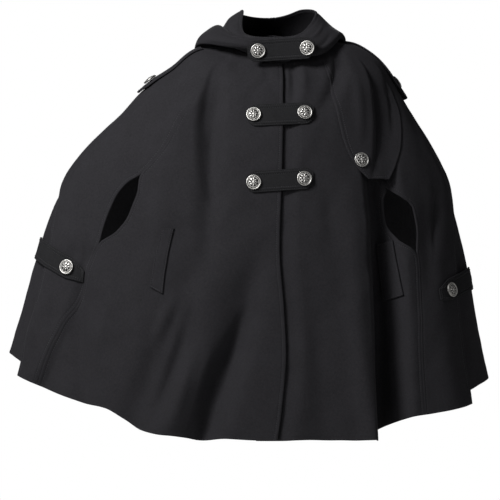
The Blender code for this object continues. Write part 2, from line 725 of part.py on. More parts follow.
def make_epaulettes(wool, silver):
    for name, t0, t1, middle, button_t, stand_off in EPAULETTES:
        u = np.linspace(0.0, 1.0, 11)[:, None] * np.ones((1, 5))
        t = t0 + (t1 - t0) * u
        line = math.radians(middle)
        half = EPAULETTE_HALF * strap_outline(u, 0.16, False)
        v = np.linspace(-1.0, 1.0, 5)[None, :]
        phi = line + v * half / speed(t, np.full(t.shape, line))
        n = facing(cape, t, phi)
        lift = LIFT + stand_off * MM * step((u - 0.45) / 0.55)
        grid = cape(t, phi) + n * lift[..., None]
        wall(f"epaulette_{name}", grid, n, WALL, wool)
        bt = np.float64(button_t)
        along = (button_t - t0) / (t1 - t0)
        n = facing(cape, bt, np.float64(line))
        rise = LIFT + stand_off * MM * float(step((along - 0.45) / 0.55))
        centre = cape(bt, np.float64(line))
        here = cape(bt + 0.02, np.float64(line)) - cape(bt - 0.02, np.float64(line))
        slope = here / np.linalg.norm(here)
        lean = stand_off * MM * float(step((along + 0.1 - 0.45) / 0.55) - step((along - 0.1 - 0.45) / 0.55))
        run = 0.2 * (t1 - t0) * float(np.linalg.norm(here)) / 0.04
        slope = slope + n * lean / max(run, 1e-6)
        slope = slope / np.linalg.norm(slope)
        n = n - slope * float(np.dot(n, slope))
        n = n / np.linalg.norm(n)
        place = centre + facing(cape, bt, np.float64(line)) * rise + n * (WALL / 2 + 0.9 * MM)
        button(f"epaulette_button_{name}", place, n, slope, silver)


# The straps across the vents: the ring they follow, the sewn end, the point, and the button.
SIDE_TABS = (
    # name, t, phi_sewn, phi_point, phi_button
    ("right", 0.707, -94, -52.9, -59.9),
    ("left", 0.721, 91, 55, 61.5),
)


def make_side_tabs(wool, silver):
    for name, t_mid, sewn, point, at in SIDE_TABS:
        u = np.linspace(0.0, 1.0, 13)[None, :] * np.ones((5, 1))
        if name == "right":
            phi = np.radians(sewn + (point - sewn) * u)
            outline = strap_outline(u, 0.16, False)
        else:
            phi = np.radians(point + (sewn - point) * u)
            outline = strap_outline(1 - u, 0.16, False)
        v = np.linspace(-1.0, 1.0, 5)[:, None]
        t = t_mid + v * outline * TAB_HALF / 0.83
        n = facing(cape, t, phi)
        wall(f"side_tab_{name}", cape(t, phi) + n * LIFT, n, WALL, wool)
        bt = np.float64(t_mid)
        bp = np.float64(math.radians(at))
        n = facing(cape, bt, bp)
        down = cape(bt + 0.01, bp) - cape(bt, bp)
        place = cape(bt, bp) + n * (LIFT + WALL / 2 + 0.8 * MM)
        button(f"side_button_{name}", place, n, down / np.linalg.norm(down), silver)


def main():
    for obj in list(bpy.data.objects):
        bpy.data.objects.remove(obj, do_unlink=True)
    made = materials()
    wool = made["wool"]
    silver = made["silver"]
    make_panels(wool)
    make_hood(wool)
    half = math.pi / 2
    cape_tree = tree_of(cape, -half, half, 161, 181)
    hood_tree = tree_of(hood, -half, half, 91, 121)
    make_tabs(wool, silver, cape_tree, hood_tree)
    make_flap(wool, silver)
    make_welts(wool)
    make_epaulettes(wool, silver)
    make_side_tabs(wool, silver)


main()
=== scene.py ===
# %% [markdown]
# # A hooded wool cape coat
#
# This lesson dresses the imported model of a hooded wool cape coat. The model already has the true
# shape of every panel, strap and button. Here each panel becomes a finer sheet of cloth, with the
# rounded rims, topstitching, small creases and nap of heavy coat wool, and each button becomes a
# piece of cast and silvered metal. All the cloth comes from one surface, so panels that are sewn
# together meet along the same line.

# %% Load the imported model
import math

import bpy
import numpy as np
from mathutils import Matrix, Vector
from mathutils.bvhtree import BVHTree


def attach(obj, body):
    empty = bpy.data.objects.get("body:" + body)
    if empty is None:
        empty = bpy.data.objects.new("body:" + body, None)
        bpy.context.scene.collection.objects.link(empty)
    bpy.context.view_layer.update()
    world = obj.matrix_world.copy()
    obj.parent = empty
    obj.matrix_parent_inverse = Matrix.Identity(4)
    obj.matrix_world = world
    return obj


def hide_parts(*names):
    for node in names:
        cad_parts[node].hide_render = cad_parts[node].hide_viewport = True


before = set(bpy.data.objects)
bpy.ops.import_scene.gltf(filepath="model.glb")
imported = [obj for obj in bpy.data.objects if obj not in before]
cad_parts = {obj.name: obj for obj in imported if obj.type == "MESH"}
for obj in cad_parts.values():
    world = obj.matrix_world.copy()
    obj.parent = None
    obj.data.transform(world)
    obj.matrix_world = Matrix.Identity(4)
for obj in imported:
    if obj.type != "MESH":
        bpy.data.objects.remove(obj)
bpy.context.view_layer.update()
print("nodes in the frame:", len(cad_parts))

# %% [markdown]
# ## The camera
#
# The garment is seen from straight ahead, at about the height of its middle, from six metres off,
# so that near and far folds keep almost the same size. The lens is worked out from the width that
# has to fit in the picture, 1.025 m at the plane of the neck.

# %% Camera
# Positions marked "seen" are in a plane through the neck, as seen from this far in front.
EYE_DISTANCE = 6.0
EYE_HEIGHT = -0.40
EYE_SIDE = -0.047
SEEN_WIDTH = 1.025
SENSOR = 36.0

camera_data = bpy.data.cameras.new("camera")
camera_data.sensor_width = SENSOR
camera_data.lens = SENSOR * EYE_DISTANCE / SEEN_WIDTH
camera = bpy.data.objects.new("camera", camera_data)
camera.location = (EYE_SIDE, -EYE_DISTANCE, EYE_HEIGHT)
camera.rotation_euler = (math.radians(90), 0, 0)
bpy.context.scene.collection.objects.link(camera)
bpy.context.scene.camera = camera
print("lens in mm:", round(camera_data.lens, 1))

# %% [markdown]
# ## Lengths
#
# Heavy coat wool is about 3 mm thick. Blender counts in metres. The tables below are in
# millimetres, which are easier to read for a garment, and MM turns them into metres.

# %% Thickness of the cloth
MM = 0.001
WALL = 3.0 * MM
print("cloth thickness in mm:", WALL / MM)

# %% [markdown]
# ## Smooth curves through tables
#
# Cloth has no corners in its fall. Every table of sizes below is read through one smooth curve
# that never swings past its rows, so a few measured places are enough for a whole panel.

# %% A curve and a soft step
def curve(xs, ys, x):
    """A smooth curve through a table's rows that never swings past them."""
    xs = np.asarray(xs, float)
    ys = np.asarray(ys, float)
    d = np.diff(ys) / np.diff(xs)
    m = np.zeros(len(xs))
    m[0] = d[0]
    m[-1] = d[-1]
    a = d[:-1]
    b = d[1:]
    same = a * b > 0
    m[1:-1][same] = 2 * a[same] * b[same] / (a[same] + b[same])
    i = np.clip(np.searchsorted(xs, x, side="right") - 1, 0, len(xs) - 2)
    h = xs[i + 1] - xs[i]
    u = (x - xs[i]) / h
    return (
        (2 * u**3 - 3 * u**2 + 1) * ys[i]
        + (u**3 - 2 * u**2 + u) * h * m[i]
        + (3 * u**2 - 2 * u**3) * ys[i + 1]
        + (u**3 - u**2) * h * m[i + 1]
    )


def step(u):
    """0 below 0 and 1 above 1, with a soft rise between."""
    u = np.clip(u, 0.0, 1.0)
    return u * u * (3 - 2 * u)


def within_half_turn(angle):
    """The same angle, counted from minus half a turn to half a turn."""
    return (angle + math.pi) % (2 * math.pi) - math.pi


print("a soft step, half way:", step(0.5))

# %% [markdown]
# ## The cape's surface
#
# A cape like this is close to a cone that hangs from the neckline. Rings run round it: t is the
# share of the way down from the neckline, and phi is the angle round the garment, 0 at the front
# and 90 degrees at the wearer's left. The arms are held out, so the rings are wider than deep.

# %% Rings of the cape
# Rings of the cape, in millimetres: how far each side reaches and how high it is there, and the
# same for the middle of the front and of the back.
RINGS = {
    "t": (0.00, 0.08, 0.16, 0.24, 0.32, 0.40, 0.50, 0.60, 0.72, 0.86, 1.00),
    "right_x": (86, 153, 207, 261, 308, 358, 414, 451, 481, 513, 547),
    "right_z": (20, 10, -30, -70, -120, -168, -231, -309, -407, -522, -637),
    "left_x": (86, 153, 214, 252, 288, 325, 362, 380, 401, 422, 449),
    "left_z": (28, 22, -12, -71, -130, -189, -269, -355, -457, -578, -698),
    "front_y": (80, 112, 138, 156, 168, 177, 188, 199, 213, 231, 250),
    "front_z": (-22, -72, -128, -188, -250, -312, -390, -468, -561, -668, -775),
    "back_y": (72, 102, 127, 145, 159, 171, 186, 202, 222, 247, 272),
    "back_z": (36, -20, -80, -143, -208, -273, -355, -439, -540, -666, -800),
}


def ring(t, phi):
    """The reach and height of the ring at t, for the side and for the front or back at phi."""
    right = np.sin(phi) < 0
    front = np.cos(phi) > 0
    row = {name: curve(RINGS["t"], RINGS[name], t) * MM for name in RINGS if name != "t"}
    reach = np.where(right, row["right_x"], row["left_x"])
    side_z = np.where(right, row["right_z"], row["left_z"])
    depth = np.where(front, row["front_y"], row["back_y"])
    mid_z = np.where(front, row["front_z"], row["back_z"])
    return reach, side_z, depth, mid_z


def smooth_cape(t, phi):
    """A point of the cape before it has any fold."""
    reach, side_z, depth, mid_z = ring(t, phi)
    s = np.sin(phi)
    c = np.cos(phi)
    return np.stack([reach * s, -depth * c, side_z * s * s + mid_z * c * c], axis=-1)


def speed(t, phi):
    """Metres of cloth for each radian round the ring."""
    reach, side_z, depth, mid_z = ring(t, phi)
    s = np.sin(phi)
    c = np.cos(phi)
    return np.sqrt((reach * c) ** 2 + (depth * s) ** 2 + (2 * (side_z - mid_z) * s * c) ** 2)


def facing(surface, t, phi):
    """The outward normal of a surface at t and phi."""
    h = 1e-4
    down = surface(t + h, phi) - surface(t - h, phi)
    across = surface(t, phi + h) - surface(t, phi - h)
    n = np.cross(down, across)
    return n / np.linalg.norm(n, axis=-1, keepdims=True)


print("hem reach in mm:", RINGS["right_x"][-1], RINGS["left_x"][-1])

# %% [markdown]
# ## Where a point is seen
#
# Seams and straps are placed where they are seen from the front. find() turns such a place into
# t and phi on the cape, by stepping towards the right ring and angle until both agree. edge()
# draws a smooth line down the cloth through several such places.

# %% From a seen place to a place on the cape
# The rings that find() looks through, from just above the neckline to just below the hem.
SEARCH_RINGS = np.linspace(-0.02, 1.06, 1081)
SEARCH_TRIES = 60
SEARCH_SHARE = 0.6
SEARCH_DONE = 1e-7


def seen(p):
    """Where a point is seen in the plane through the neck."""
    nearer = EYE_DISTANCE / (EYE_DISTANCE + p[..., 1])
    x = EYE_SIDE + (p[..., 0] - EYE_SIDE) * nearer
    z = EYE_HEIGHT + (p[..., 2] - EYE_HEIGHT) * nearer
    return x, z


def find(x, z):
    """The t and phi of the front's point that is seen at x and z, in millimetres."""
    x = x * MM
    z = z * MM
    phi = 0.0
    for _ in range(SEARCH_TRIES):
        _, heights = seen(smooth_cape(SEARCH_RINGS, np.full(SEARCH_RINGS.shape, phi)))
        t = float(np.interp(-z, -heights, SEARCH_RINGS))
        p = smooth_cape(np.float64(t), np.float64(phi))
        farther = (EYE_DISTANCE + p[1]) / EYE_DISTANCE
        wanted = EYE_SIDE + (x - EYE_SIDE) * farther
        reach = ring(np.float64(t), np.float64(1.0 if wanted > 0 else -1.0))[0]
        more = SEARCH_SHARE * (math.asin(max(-0.999, min(0.999, wanted / reach))) - phi)
        phi += more
        if abs(more) < SEARCH_DONE:
            break
    return t, phi


def through(rows):
    """A smooth line down the cloth through rows of t and phi, as a function of t."""
    ts = [row[0] for row in rows]
    phis = [row[1] for row in rows]
    return lambda t: curve(ts, phis, t)


def edge(points, start=None):
    """A line down the cloth through points seen from the front; start is its degrees at the neck."""
    rows = [find(x, z) for x, z in points]
    if start is not None:
        rows.append((0.0, math.radians(start)))
    return through(sorted(rows))


print("the middle of the chest is at t =", round(find(0, -200)[0], 3))

# %% [markdown]
# ## Large folds
#
# The cloth falls in long soft folds that grow towards the hem. Each one is a bump or trough that
# runs down the cloth, with its own start, line, width and depth, because no two are alike.

# %% Large folds
# Folds that run down the cloth: where each starts and ends, its angle there and how far its line
# bows, half its width and its height in millimetres at both ends (a trough is negative).
FOLDS = (
    # name, t0, t1, phi0, phi1, bow, half0, half1, high0, high1
    ("left front ridge", 0.30, 1.0, 29, 25.5, -2, 26, 24, 3, 18),
    ("left side ridge", 0.50, 1.0, 56, 53, 0, 40, 42, 2, 14),
    ("left side crease", 0.42, 0.76, 58, 51, 0, 22, 22, -5, -7),
    ("left of closure trough", 0.55, 1.0, 12, 13, 0, 30, 34, -2, -9),
    ("right chest trough", 0.06, 0.62, -40, -17, 5, 16, 26, -15, -8),
    ("right chest ridge", 0.12, 0.66, -54, -30, 4, 24, 34, 6, 3),
    ("right hem valley", 0.46, 1.0, -2.5, -15.5, 0, 26, 36, -8, -32),
    ("right hem ridge", 0.50, 1.0, -13, -24, 0, 26, 30, 4, 12),
    ("right outer valley", 0.52, 1.0, -20, -31, 0, 26, 32, -4, -14),
    ("right seam valley", 0.62, 1.0, -58, -44, 0, 24, 34, -5, -18),
    ("right side ridge", 0.58, 1.0, -68, -66, 0, 28, 32, 4, 12),
    ("back fold 1", 0.30, 1.0, 112, 108, 0, 26, 34, -3, -22),
    ("back fold 2", 0.34, 1.0, 133, 128, 0, 30, 38, 3, 20),
    ("back fold 3", 0.26, 1.0, 153, 150, 0, 24, 36, -4, -27),
    ("back fold 4", 0.40, 1.0, 177, 176, 0, 34, 44, 3, 17),
    ("back fold 5", 0.28, 1.0, -158, -154, 0, 26, 38, -4, -25),
    ("back fold 6", 0.36, 1.0, -137, -131, 0, 28, 38, 3, 21),
    ("back fold 7", 0.32, 1.0, -118, -110, 0, 26, 36, -3, -23),
)
# A fold rises from nothing over the first share of t. It fades over the second if it ends above
# the hem, and the power lets it grow faster towards its end.
FOLD_RISE = 0.14
FOLD_FADE = 0.16
FOLD_GROWTH = 1.4


def folds(t, phi):
    """How far the folds push the cloth out at t and phi."""
    out = np.zeros(np.broadcast(t, phi).shape)
    for _, t0, t1, phi0, phi1, bow, half0, half1, high0, high1 in FOLDS:
        u = np.clip((t - t0) / (t1 - t0), 0.0, 1.0)
        middle = np.radians(phi0 + (phi1 - phi0) * u + bow * 4 * u * (1 - u))
        away = within_half_turn(phi - middle)
        half = (half0 + (half1 - half0) * u) * MM
        high = (high0 + (high1 - high0) * u**FOLD_GROWTH) * MM
        rise = step((t - t0) / FOLD_RISE)
        if t1 < 1.0:
            rise = rise * step((t1 - t) / FOLD_FADE)
        out = out + high * rise * np.exp(-((away * speed(t, middle) / half) ** 2))
    return out


print("large folds:", len(FOLDS))

# %% [markdown]
# ## The pleat beside the left arm slit
#
# Below the storm flap the left front turns in sharply, and the cloth comes out again slowly behind
# the arm slit. The edge of the fold takes the light and the recess beside it stays almost black.

# %% Pleat
# Its line, seen, with its angle at the neckline in degrees, and its depth in millimetres where it
# starts and at the hem.
PLEAT_NECK = 31
PLEAT = ((179, -252), (183, -297), (191, -400), (197, -502), (201, -625), (205, -770))
PLEAT_START = 0.26
PLEAT_RISE = 0.16
PLEAT_DEPTH = (34, 76)
# Beside the line the cloth drops over the first width, is down until the second and out again at
# the third.
PLEAT_DROP = 33.0 * MM
PLEAT_FLOOR = 42.0 * MM
PLEAT_REACH = 100.0 * MM
PLEAT_LINE = edge(PLEAT, PLEAT_NECK)


def recess(t, phi):
    """How far in the cloth goes beside the sharp fold, at t and phi."""
    line = PLEAT_LINE(t)
    past = within_half_turn(phi - line) * speed(t, line)
    out_again = step((past - PLEAT_FLOOR) / (PLEAT_REACH - PLEAT_FLOOR))
    u = np.clip((t - PLEAT_START) / (1 - PLEAT_START), 0.0, 1.0)
    depth = (PLEAT_DEPTH[0] + (PLEAT_DEPTH[1] - PLEAT_DEPTH[0]) * u) * MM
    depth = depth * step((t - PLEAT_START) / PLEAT_RISE)
    return depth * step(past / PLEAT_DROP) * (1 - out_again)


print("depth of the pleat at the hem in mm:", PLEAT_DEPTH[1])

# %% [markdown]
# ## Small creases
#
# The photographed cloth also has short, soft creases: beside the storm flap, under the collar
# strap, at the foot of the arm slits and near the side straps. Each is a lens-shaped trough or
# ridge along a short line, uneven in length and depth, with similar ones on the hidden back. Very
# low ripples with no direction keep the open cloth from looking like sheet metal.

# %% Creases seen from the front
# Ends seen from the front in millimetres, half width and height in millimetres.
CREASES_SEEN = (
    # name, x0, z0, x1, z1, half, high
    ("ridge down the flap", 158, -30, 172, -226, 10, 2.5),
    ("recess under the collar", 30, 6, 34, -118, 7, -7),
    ("ridge under the collar", 49, 0, 47, -124, 9, 5),
    ("pull from the collar", -100, 10, -64, -26, 6, 2.5),
    ("dip from the collar", -88, -2, -60, -42, 6, -2.5),
    ("streak on the left side", 336, -270, 318, -420, 14, -5),
    ("foot of the right slit", -356, -388, -398, -442, 9, -4.5),
    ("drag at the right side strap", -376, -366, -398, -456, 10, -5),
    ("drag over the right side strap", -400, -428, -416, -388, 12, -4),
    ("ridge beside the hem fold", -158, -580, -218, -800, 13, 10),
    ("ridge beside the outer hem fold", -188, -470, -262, -620, 12, 9),
    ("dip at the right strap", -392, -416, -398, -512, 12, -7),
    ("ridge behind the right seam", -464, -480, -512, -650, 14, 8),
    ("shoulder pull", -140, -60, -168, -140, 14, 3),
    ("chest pull right", -96, -40, -128, -190, 12, 3),
    ("hem break 1", -72, -560, -118, -742, 16, -4),
    ("hem break 2", -236, -500, -262, -700, 18, -3.5),
    ("hem break 3", -330, -470, -372, -640, 16, 4),
    ("hem break 4", 62, -470, 74, -760, 18, 3),
    ("waist drag", -70, -268, -168, -310, 12, -2.5),
    ("waist drag low", -60, -290, -130, -352, 11, 2),
    ("chest drag", -66, -132, -150, -158, 11, -2),
    ("left chest soft fold", 108, -250, 118, -420, 16, -3),
)
print("creases of the front:", len(CREASES_SEEN))

# %% Creases of the sides and the back
# Ends as t and degrees round the garment, for the sides and the back.
CREASES_ROUND = (
    # name, t0, phi0, t1, phi1, half, high
    ("back crease 1", 0.10, 168, 0.34, 158, 16, 3.5),
    ("back crease 2", 0.12, -170, 0.40, -162, 15, -3.5),
    ("back crease 3", 0.30, 140, 0.62, 143, 14, -3),
    ("back crease 4", 0.46, -148, 0.86, -146, 15, 4),
    ("back crease 5", 0.55, 165, 0.97, 164, 16, 4),
    ("back crease 6", 0.62, -170, 0.98, -168, 14, -4),
    ("back crease 7", 0.50, 120, 0.90, 119, 15, 3.5),
    ("back crease 8", 0.58, -126, 0.96, -124, 14, -4),
    ("right shoulder crease", 0.20, -100, 0.44, -108, 14, -3),
    ("left shoulder crease", 0.22, 104, 0.46, 112, 14, -3),
    ("right side crease", 0.40, -82, 0.66, -80, 13, -3),
    ("left side crease", 0.36, 76, 0.60, 74, 13, 3),
)
print("creases of the sides and the back:", len(CREASES_ROUND))

# %% Drops
# Places where the cloth turns in sharply and comes out again slowly towards the wearer's left: the
# ends seen, how wide the drop is, how far the way out is and the depth, all in millimetres. A drop
# that is open runs off the hem.
DROPS_SEEN = (
    # name, x0, z0, x1, z1, drop, way_out, deep, open
    ("trough under the collar", 88, 26, 52, -138, 13, 32, 9, 0),
    ("fold down the storm flap", 164, -2, 187, -268, 12, 78, 15, 0),
    ("second fold of the flap", 212, -18, 238, -176, 12, 46, 5, 0),
    ("chest fold, upper", -120, -14, -145, -226, 13, 54, 9.5, 0),
    ("chest fold, lower", -145, -64, -114, -364, 14, 60, 8, 0),
    ("hem fold, upper", -58, -484, -168, -694, 20, 60, 14, 0),
    ("hem fold, lower", -122, -566, -186, -796, 20, 58, 18, 1),
    ("outer hem fold", -172, -480, -280, -772, 24, 60, 18, 0),
    ("fold along the right seam", -390, -424, -502, -690, 26, 74, 16, 1),
    ("fold behind the left slit", 322, -262, 322, -420, 12, 40, 6, 0),
)
print("drops:", len(DROPS_SEEN))

# %% Heights of the creases and drops
# The cloth from neckline to hem, in metres.
PANEL_LENGTH = 0.80
DROP_POWER = 1.2
CREASE_ENDS = [
    (*find(x0, z0), *find(x1, z1), half * MM, high * MM)
    for _, x0, z0, x1, z1, half, high in CREASES_SEEN
] + [
    (t0, math.radians(phi0), t1, math.radians(phi1), half * MM, high * MM)
    for _, t0, phi0, t1, phi1, half, high in CREASES_ROUND
]
DROP_ENDS = [
    (*find(x0, z0), *find(x1, z1), drop * MM, way_out * MM, deep * MM, open_end)
    for _, x0, z0, x1, z1, drop, way_out, deep, open_end in DROPS_SEEN
]


def by_line(t, phi, line, down_scale, round_scale):
    """How far along a line a point is, as a share, and how far beside it, in metres."""
    t0, phi0, t1, phi1 = line
    x = within_half_turn(phi - phi0) * round_scale
    y = (t - t0) * down_scale
    along_x = (phi1 - phi0) * round_scale
    along_y = (t1 - t0) * down_scale
    length = math.hypot(along_x, along_y)
    along = np.clip((x * along_x + y * along_y) / length**2, 0.0, 1.0)
    return along, (x * along_y - y * along_x) / length


def by_cape_line(t, phi, line):
    t0, phi0, t1, phi1 = line
    round_scale = float(speed(np.float64((t0 + t1) / 2), np.float64((phi0 + phi1) / 2)))
    return by_line(t, phi, line, PANEL_LENGTH, round_scale)


def crease(along, beside, half, high):
    """A crease is highest at its middle and fades to both sides."""
    return high * np.sin(math.pi * along) ** 2 * np.exp(-((beside / half) ** 2))


def creases(t, phi):
    """How far the small creases and the drops push the cloth out."""
    out = np.zeros(np.broadcast(t, phi).shape)
    for *line, half, high in CREASE_ENDS:
        out = out + crease(*by_cape_line(t, phi, line), half, high)
    for *line, drop, way_out, deep, open_end in DROP_ENDS:
        along, beside = by_cape_line(t, phi, line)
        in_and_out = step(beside / drop) * (1 - step((beside - drop) / way_out))
        turn = math.pi / 2 if open_end else math.pi
        out = out - deep * np.sin(turn * along) ** DROP_POWER * in_and_out
    return out


print("small creases:", len(CREASE_ENDS))

# %% Ripples
# Wavelengths in millimetres down and round the cloth, the height in millimetres and a start.
RIPPLES = (
    (150, 95, 0.50, 0.4),
    (97, 140, 0.45, 2.1),
    (63, 71, 0.30, 4.4),
    (41, 55, 0.18, 1.3),
)
# How far the cape reaches on the whole, in metres, and how the starts round it differ from those
# down it.
MEAN_REACH = 0.36
START_RATIO = 1.7


def ripples(t, phi):
    """Low waves with no direction, for the open cloth."""
    out = np.zeros(np.broadcast(t, phi).shape)
    for down, across, high, start in RIPPLES:
        a = 2 * math.pi * t * PANEL_LENGTH / (down * MM)
        turns = round(2 * math.pi * MEAN_REACH / (across * MM))
        out = out + high * MM * np.sin(a + start) * np.sin(turns * phi + start * START_RATIO)
    return out


def over(t, phi):
    """A point of the cape with its folds, creases and ripples, straight across the recess."""
    n = facing(smooth_cape, t, phi)
    out = folds(t, phi) + creases(t, phi) + ripples(t, phi)
    return smooth_cape(t, phi) + n * out[..., None]


def cape(t, phi):
    """The same point, with the recess beside the sharp fold as well."""
    return over(t, phi) - facing(smooth_cape, t, phi) * recess(t, phi)[..., None]


print("a point of the side:", cape(np.float64(0.5), np.float64(1.5)).round(3))

# %% [markdown]
# ## Seams, slits and the closure
#
# The front panels end on the raglan seam, which runs from the neckline over the shoulder. Part of
# that seam is left open as the arm slit, where the front keeps to an inner line and the side
# panel to an outer one. The right front laps over the left one at the closure.

# %% Edges of the panels
# Seen from the front in millimetres: the raglan seam down to the top of the arm slit, the two sides
# of the slit, and the seam from the foot of the slit. The front panel ends on the inner side and the
# side panel on the outer one. RAGLAN_NECK is where the seam starts, in degrees round the garment.
RAGLAN_NECK = 50
RAGLAN_RIGHT = ((-189, -133), (-211, -174), (-250, -224), (-269, -243))
SLIT_RIGHT_INNER = ((-279, -287), (-295, -328), (-321, -363))
SLIT_RIGHT_OUTER = ((-300, -262), (-327, -300), (-345, -344))
BELOW_RIGHT = ((-357, -388), (-382, -445), (-401, -498), (-434, -552), (-462, -611), (-485, -674))
RAGLAN_LEFT = ((150, -92), (196, -174), (226, -232), (240, -264))
SLIT_LEFT_INNER = ((238, -297), (243, -338), (262, -379))
SLIT_LEFT_OUTER = ((263, -290), (287, -312), (295, -350))
BELOW_LEFT = ((295, -412), (298, -460), (300, -502), (303, -605), (312, -738))

# The edge of the right front, which laps over the left one.
CLOSURE = ((17, -14), (20, -92), (18, -232), (13, -400), (22, -523), (26, -605), (17, -728), (8, -791))

# The side seams as t and degrees: closed from the neckline to the top of the vent, open below.
VENT_RIGHT = ((0.0, -90), (0.50, -90), (0.60, -79), (0.72, -72), (0.86, -70), (1.0, -68.4))
VENT_LEFT = ((0.0, 89), (0.46, 88), (0.56, 80), (0.66, 71), (0.80, 66), (1.0, 62.6))
VENT_RIGHT_TOP = 0.50
VENT_LEFT_TOP = 0.46

RIGHT_FRONT_EDGE = edge((*RAGLAN_RIGHT, *SLIT_RIGHT_INNER, *BELOW_RIGHT), -RAGLAN_NECK)
RIGHT_OUTER_EDGE = edge((*RAGLAN_RIGHT, *SLIT_RIGHT_OUTER, *BELOW_RIGHT), -RAGLAN_NECK)
LEFT_FRONT_EDGE = edge((*RAGLAN_LEFT, *SLIT_LEFT_INNER, *BELOW_LEFT), RAGLAN_NECK)
LEFT_OUTER_EDGE = edge((*RAGLAN_LEFT, *SLIT_LEFT_OUTER, *BELOW_LEFT), RAGLAN_NECK)
CLOSURE_EDGE = edge(CLOSURE)
RIGHT_VENT = through([(t, math.radians(phi)) for t, phi in VENT_RIGHT])
LEFT_VENT = through([(t, math.radians(phi)) for t, phi in VENT_LEFT])


def right_side_edge(t):
    """The side panel's edge at the seam: it leaves the front's edge only at the arm slit."""
    return np.minimum(RIGHT_OUTER_EDGE(t), RIGHT_FRONT_EDGE(t))


def left_side_edge(t):
    return np.maximum(LEFT_OUTER_EDGE(t), LEFT_FRONT_EDGE(t))


print("closure starts at phi =", round(math.degrees(float(CLOSURE_EDGE(0.0))), 2))

# %% [markdown]
# ## Laps
#
# Where one panel laps over another, the lower one goes in by more than the cloth's thickness. It
# comes back to the cape's own surface slowly, so that no step shows from outside.

# %% How panels lap at the closure and the vents
UNDERLAP = 34.0 * MM
CLOSURE_STEP = 7.0 * MM
CLOSURE_FLAT = 4 * MM
CLOSURE_FADE = 38 * MM
VENT_UNDERLAP = 30.0 * MM
VENT_STEP = 9.0 * MM
VENT_FADE = math.radians(22)
# Over these shares of t the back goes in below the top of a vent, and then widens under the side.
VENT_SINK = 0.05
VENT_LAP_START = 0.04
VENT_LAP_GROWTH = 0.10


def flat_shift(t, phi):
    """No shift: the panel stays on the cape's surface."""
    return np.zeros(np.broadcast(t, phi).shape)


def under_closure(t, phi):
    """The left front goes under the right one."""
    past = (phi - CLOSURE_EDGE(t)) * speed(t, phi)
    return -CLOSURE_STEP * (1 - step((past - CLOSURE_FLAT) / CLOSURE_FADE))


def underlap_edge(t):
    """The left front's edge, hidden under the right one."""
    return CLOSURE_EDGE(t) - UNDERLAP / speed(t, CLOSURE_EDGE(t))


def under_vents(t, phi):
    """The back goes under the side panels below the top of each vent."""
    turned = within_half_turn(phi)
    left = step((t - VENT_LEFT_TOP) / VENT_SINK)
    left = left * (1 - step((turned - LEFT_VENT(t)) / VENT_FADE)) * (turned > 0)
    right = step((t - VENT_RIGHT_TOP) / VENT_SINK)
    right = right * (1 - step((RIGHT_VENT(t) - turned) / VENT_FADE)) * (turned < 0)
    return -VENT_STEP * (left + right)


def vent_lap(t, top, phi):
    """How far the back reaches under a side panel, as an angle."""
    return VENT_UNDERLAP * step((t - top - VENT_LAP_START) / VENT_LAP_GROWTH) / speed(t, phi)


def back_low(t):
    return LEFT_VENT(t) - vent_lap(t, VENT_LEFT_TOP, LEFT_VENT(t))


def back_high(t):
    return 2 * math.pi + RIGHT_VENT(t) + vent_lap(t, VENT_RIGHT_TOP, RIGHT_VENT(t))


print("underlap of the left front in mm:", round(UNDERLAP / MM))

# %% Hems
# How much lower than its ring the front's hem is, in millimetres, at degrees round the garment. The
# front is FRONT_LENGTH long, in millimetres, and its hem starts to wave at FRONT_WAVE.
HEM_PHI = (-75, -60, -45, -38, -33, -28.5, -24.8, -21, -16, -9, 8, 16, 22, 27, 31, 38, 45, 52, 60, 75)
HEM_LOWER = (0, 0, -4, -9, 0, 12, 14, 10, 5, 0, 0, 5, 12, 17, -8, -14, -10, -6, -4, -4)
FRONT_LENGTH = 780
FRONT_WAVE = 0.72
# How much higher the back's hem is at the left and right side, as shares, and where that starts.
BACK_RISE_LEFT = 0.042
BACK_RISE_RIGHT = 0.032
BACK_RISE_START = 0.7


def front_foot(t, phi):
    """The front's hem waves up and down a little."""
    lower = curve(HEM_PHI, HEM_LOWER, np.degrees(phi)) / FRONT_LENGTH
    return t + lower * step((t - FRONT_WAVE) / (1 - FRONT_WAVE))


def back_foot(t, phi):
    """The back's hem is a little higher than the front's at the sides."""
    share = np.where(np.sin(phi) > 0, BACK_RISE_LEFT, BACK_RISE_RIGHT)
    return t - share * np.sin(phi) ** 2 * step((t - BACK_RISE_START) / (1 - BACK_RISE_START))


print("lowest wave of the front hem in mm:", max(HEM_LOWER))

# %% [markdown]
# ## Colours and a helper for nodes
#
# Colours are written as they look on a screen, in sRGB hex, and turned to the linear values that
# the renderer adds up. One small function adds a node with its settings and its links, and sets
# the shader that every new material already has in the same way.

# %% Colour and node helpers
def linear(hex_colour):
    """An sRGB hex colour as linear red, green, blue and alpha."""
    parts = [int(hex_colour[i:i + 2], 16) / 255 for i in (1, 3, 5)]
    return (*[c / 12.92 if c <= 0.04045 else ((c + 0.055) / 1.055) ** 2.4 for c in parts], 1.0)


def set_node(tree, node, settings=None, links=None):
    """Settings name a socket, a property or a ramp's stops. Links name a socket and its source."""
    for name, value in (settings or {}).items():
        if name == "stops":
            for element, (position, colour) in zip(node.color_ramp.elements, value):
                element.position = position
                element.color = linear(colour)
        elif isinstance(name, int) or name in node.inputs:
            node.inputs[name].default_value = value
        else:
            setattr(node, name, value)
    for name, source in (links or {}).items():
        tree.links.new(source, node.inputs[name])
    return node


def add_node(tree, kind, settings=None, links=None):
    return set_node(tree, tree.nodes.new(kind), settings, links)


def new_material(name):
    material = bpy.data.materials.new(name)
    material.use_nodes = True
    tree = material.node_tree
    return material, tree, tree.nodes["Principled BSDF"]


print("charcoal in linear light:", [round(c, 4) for c in linear("#2F2E31")])

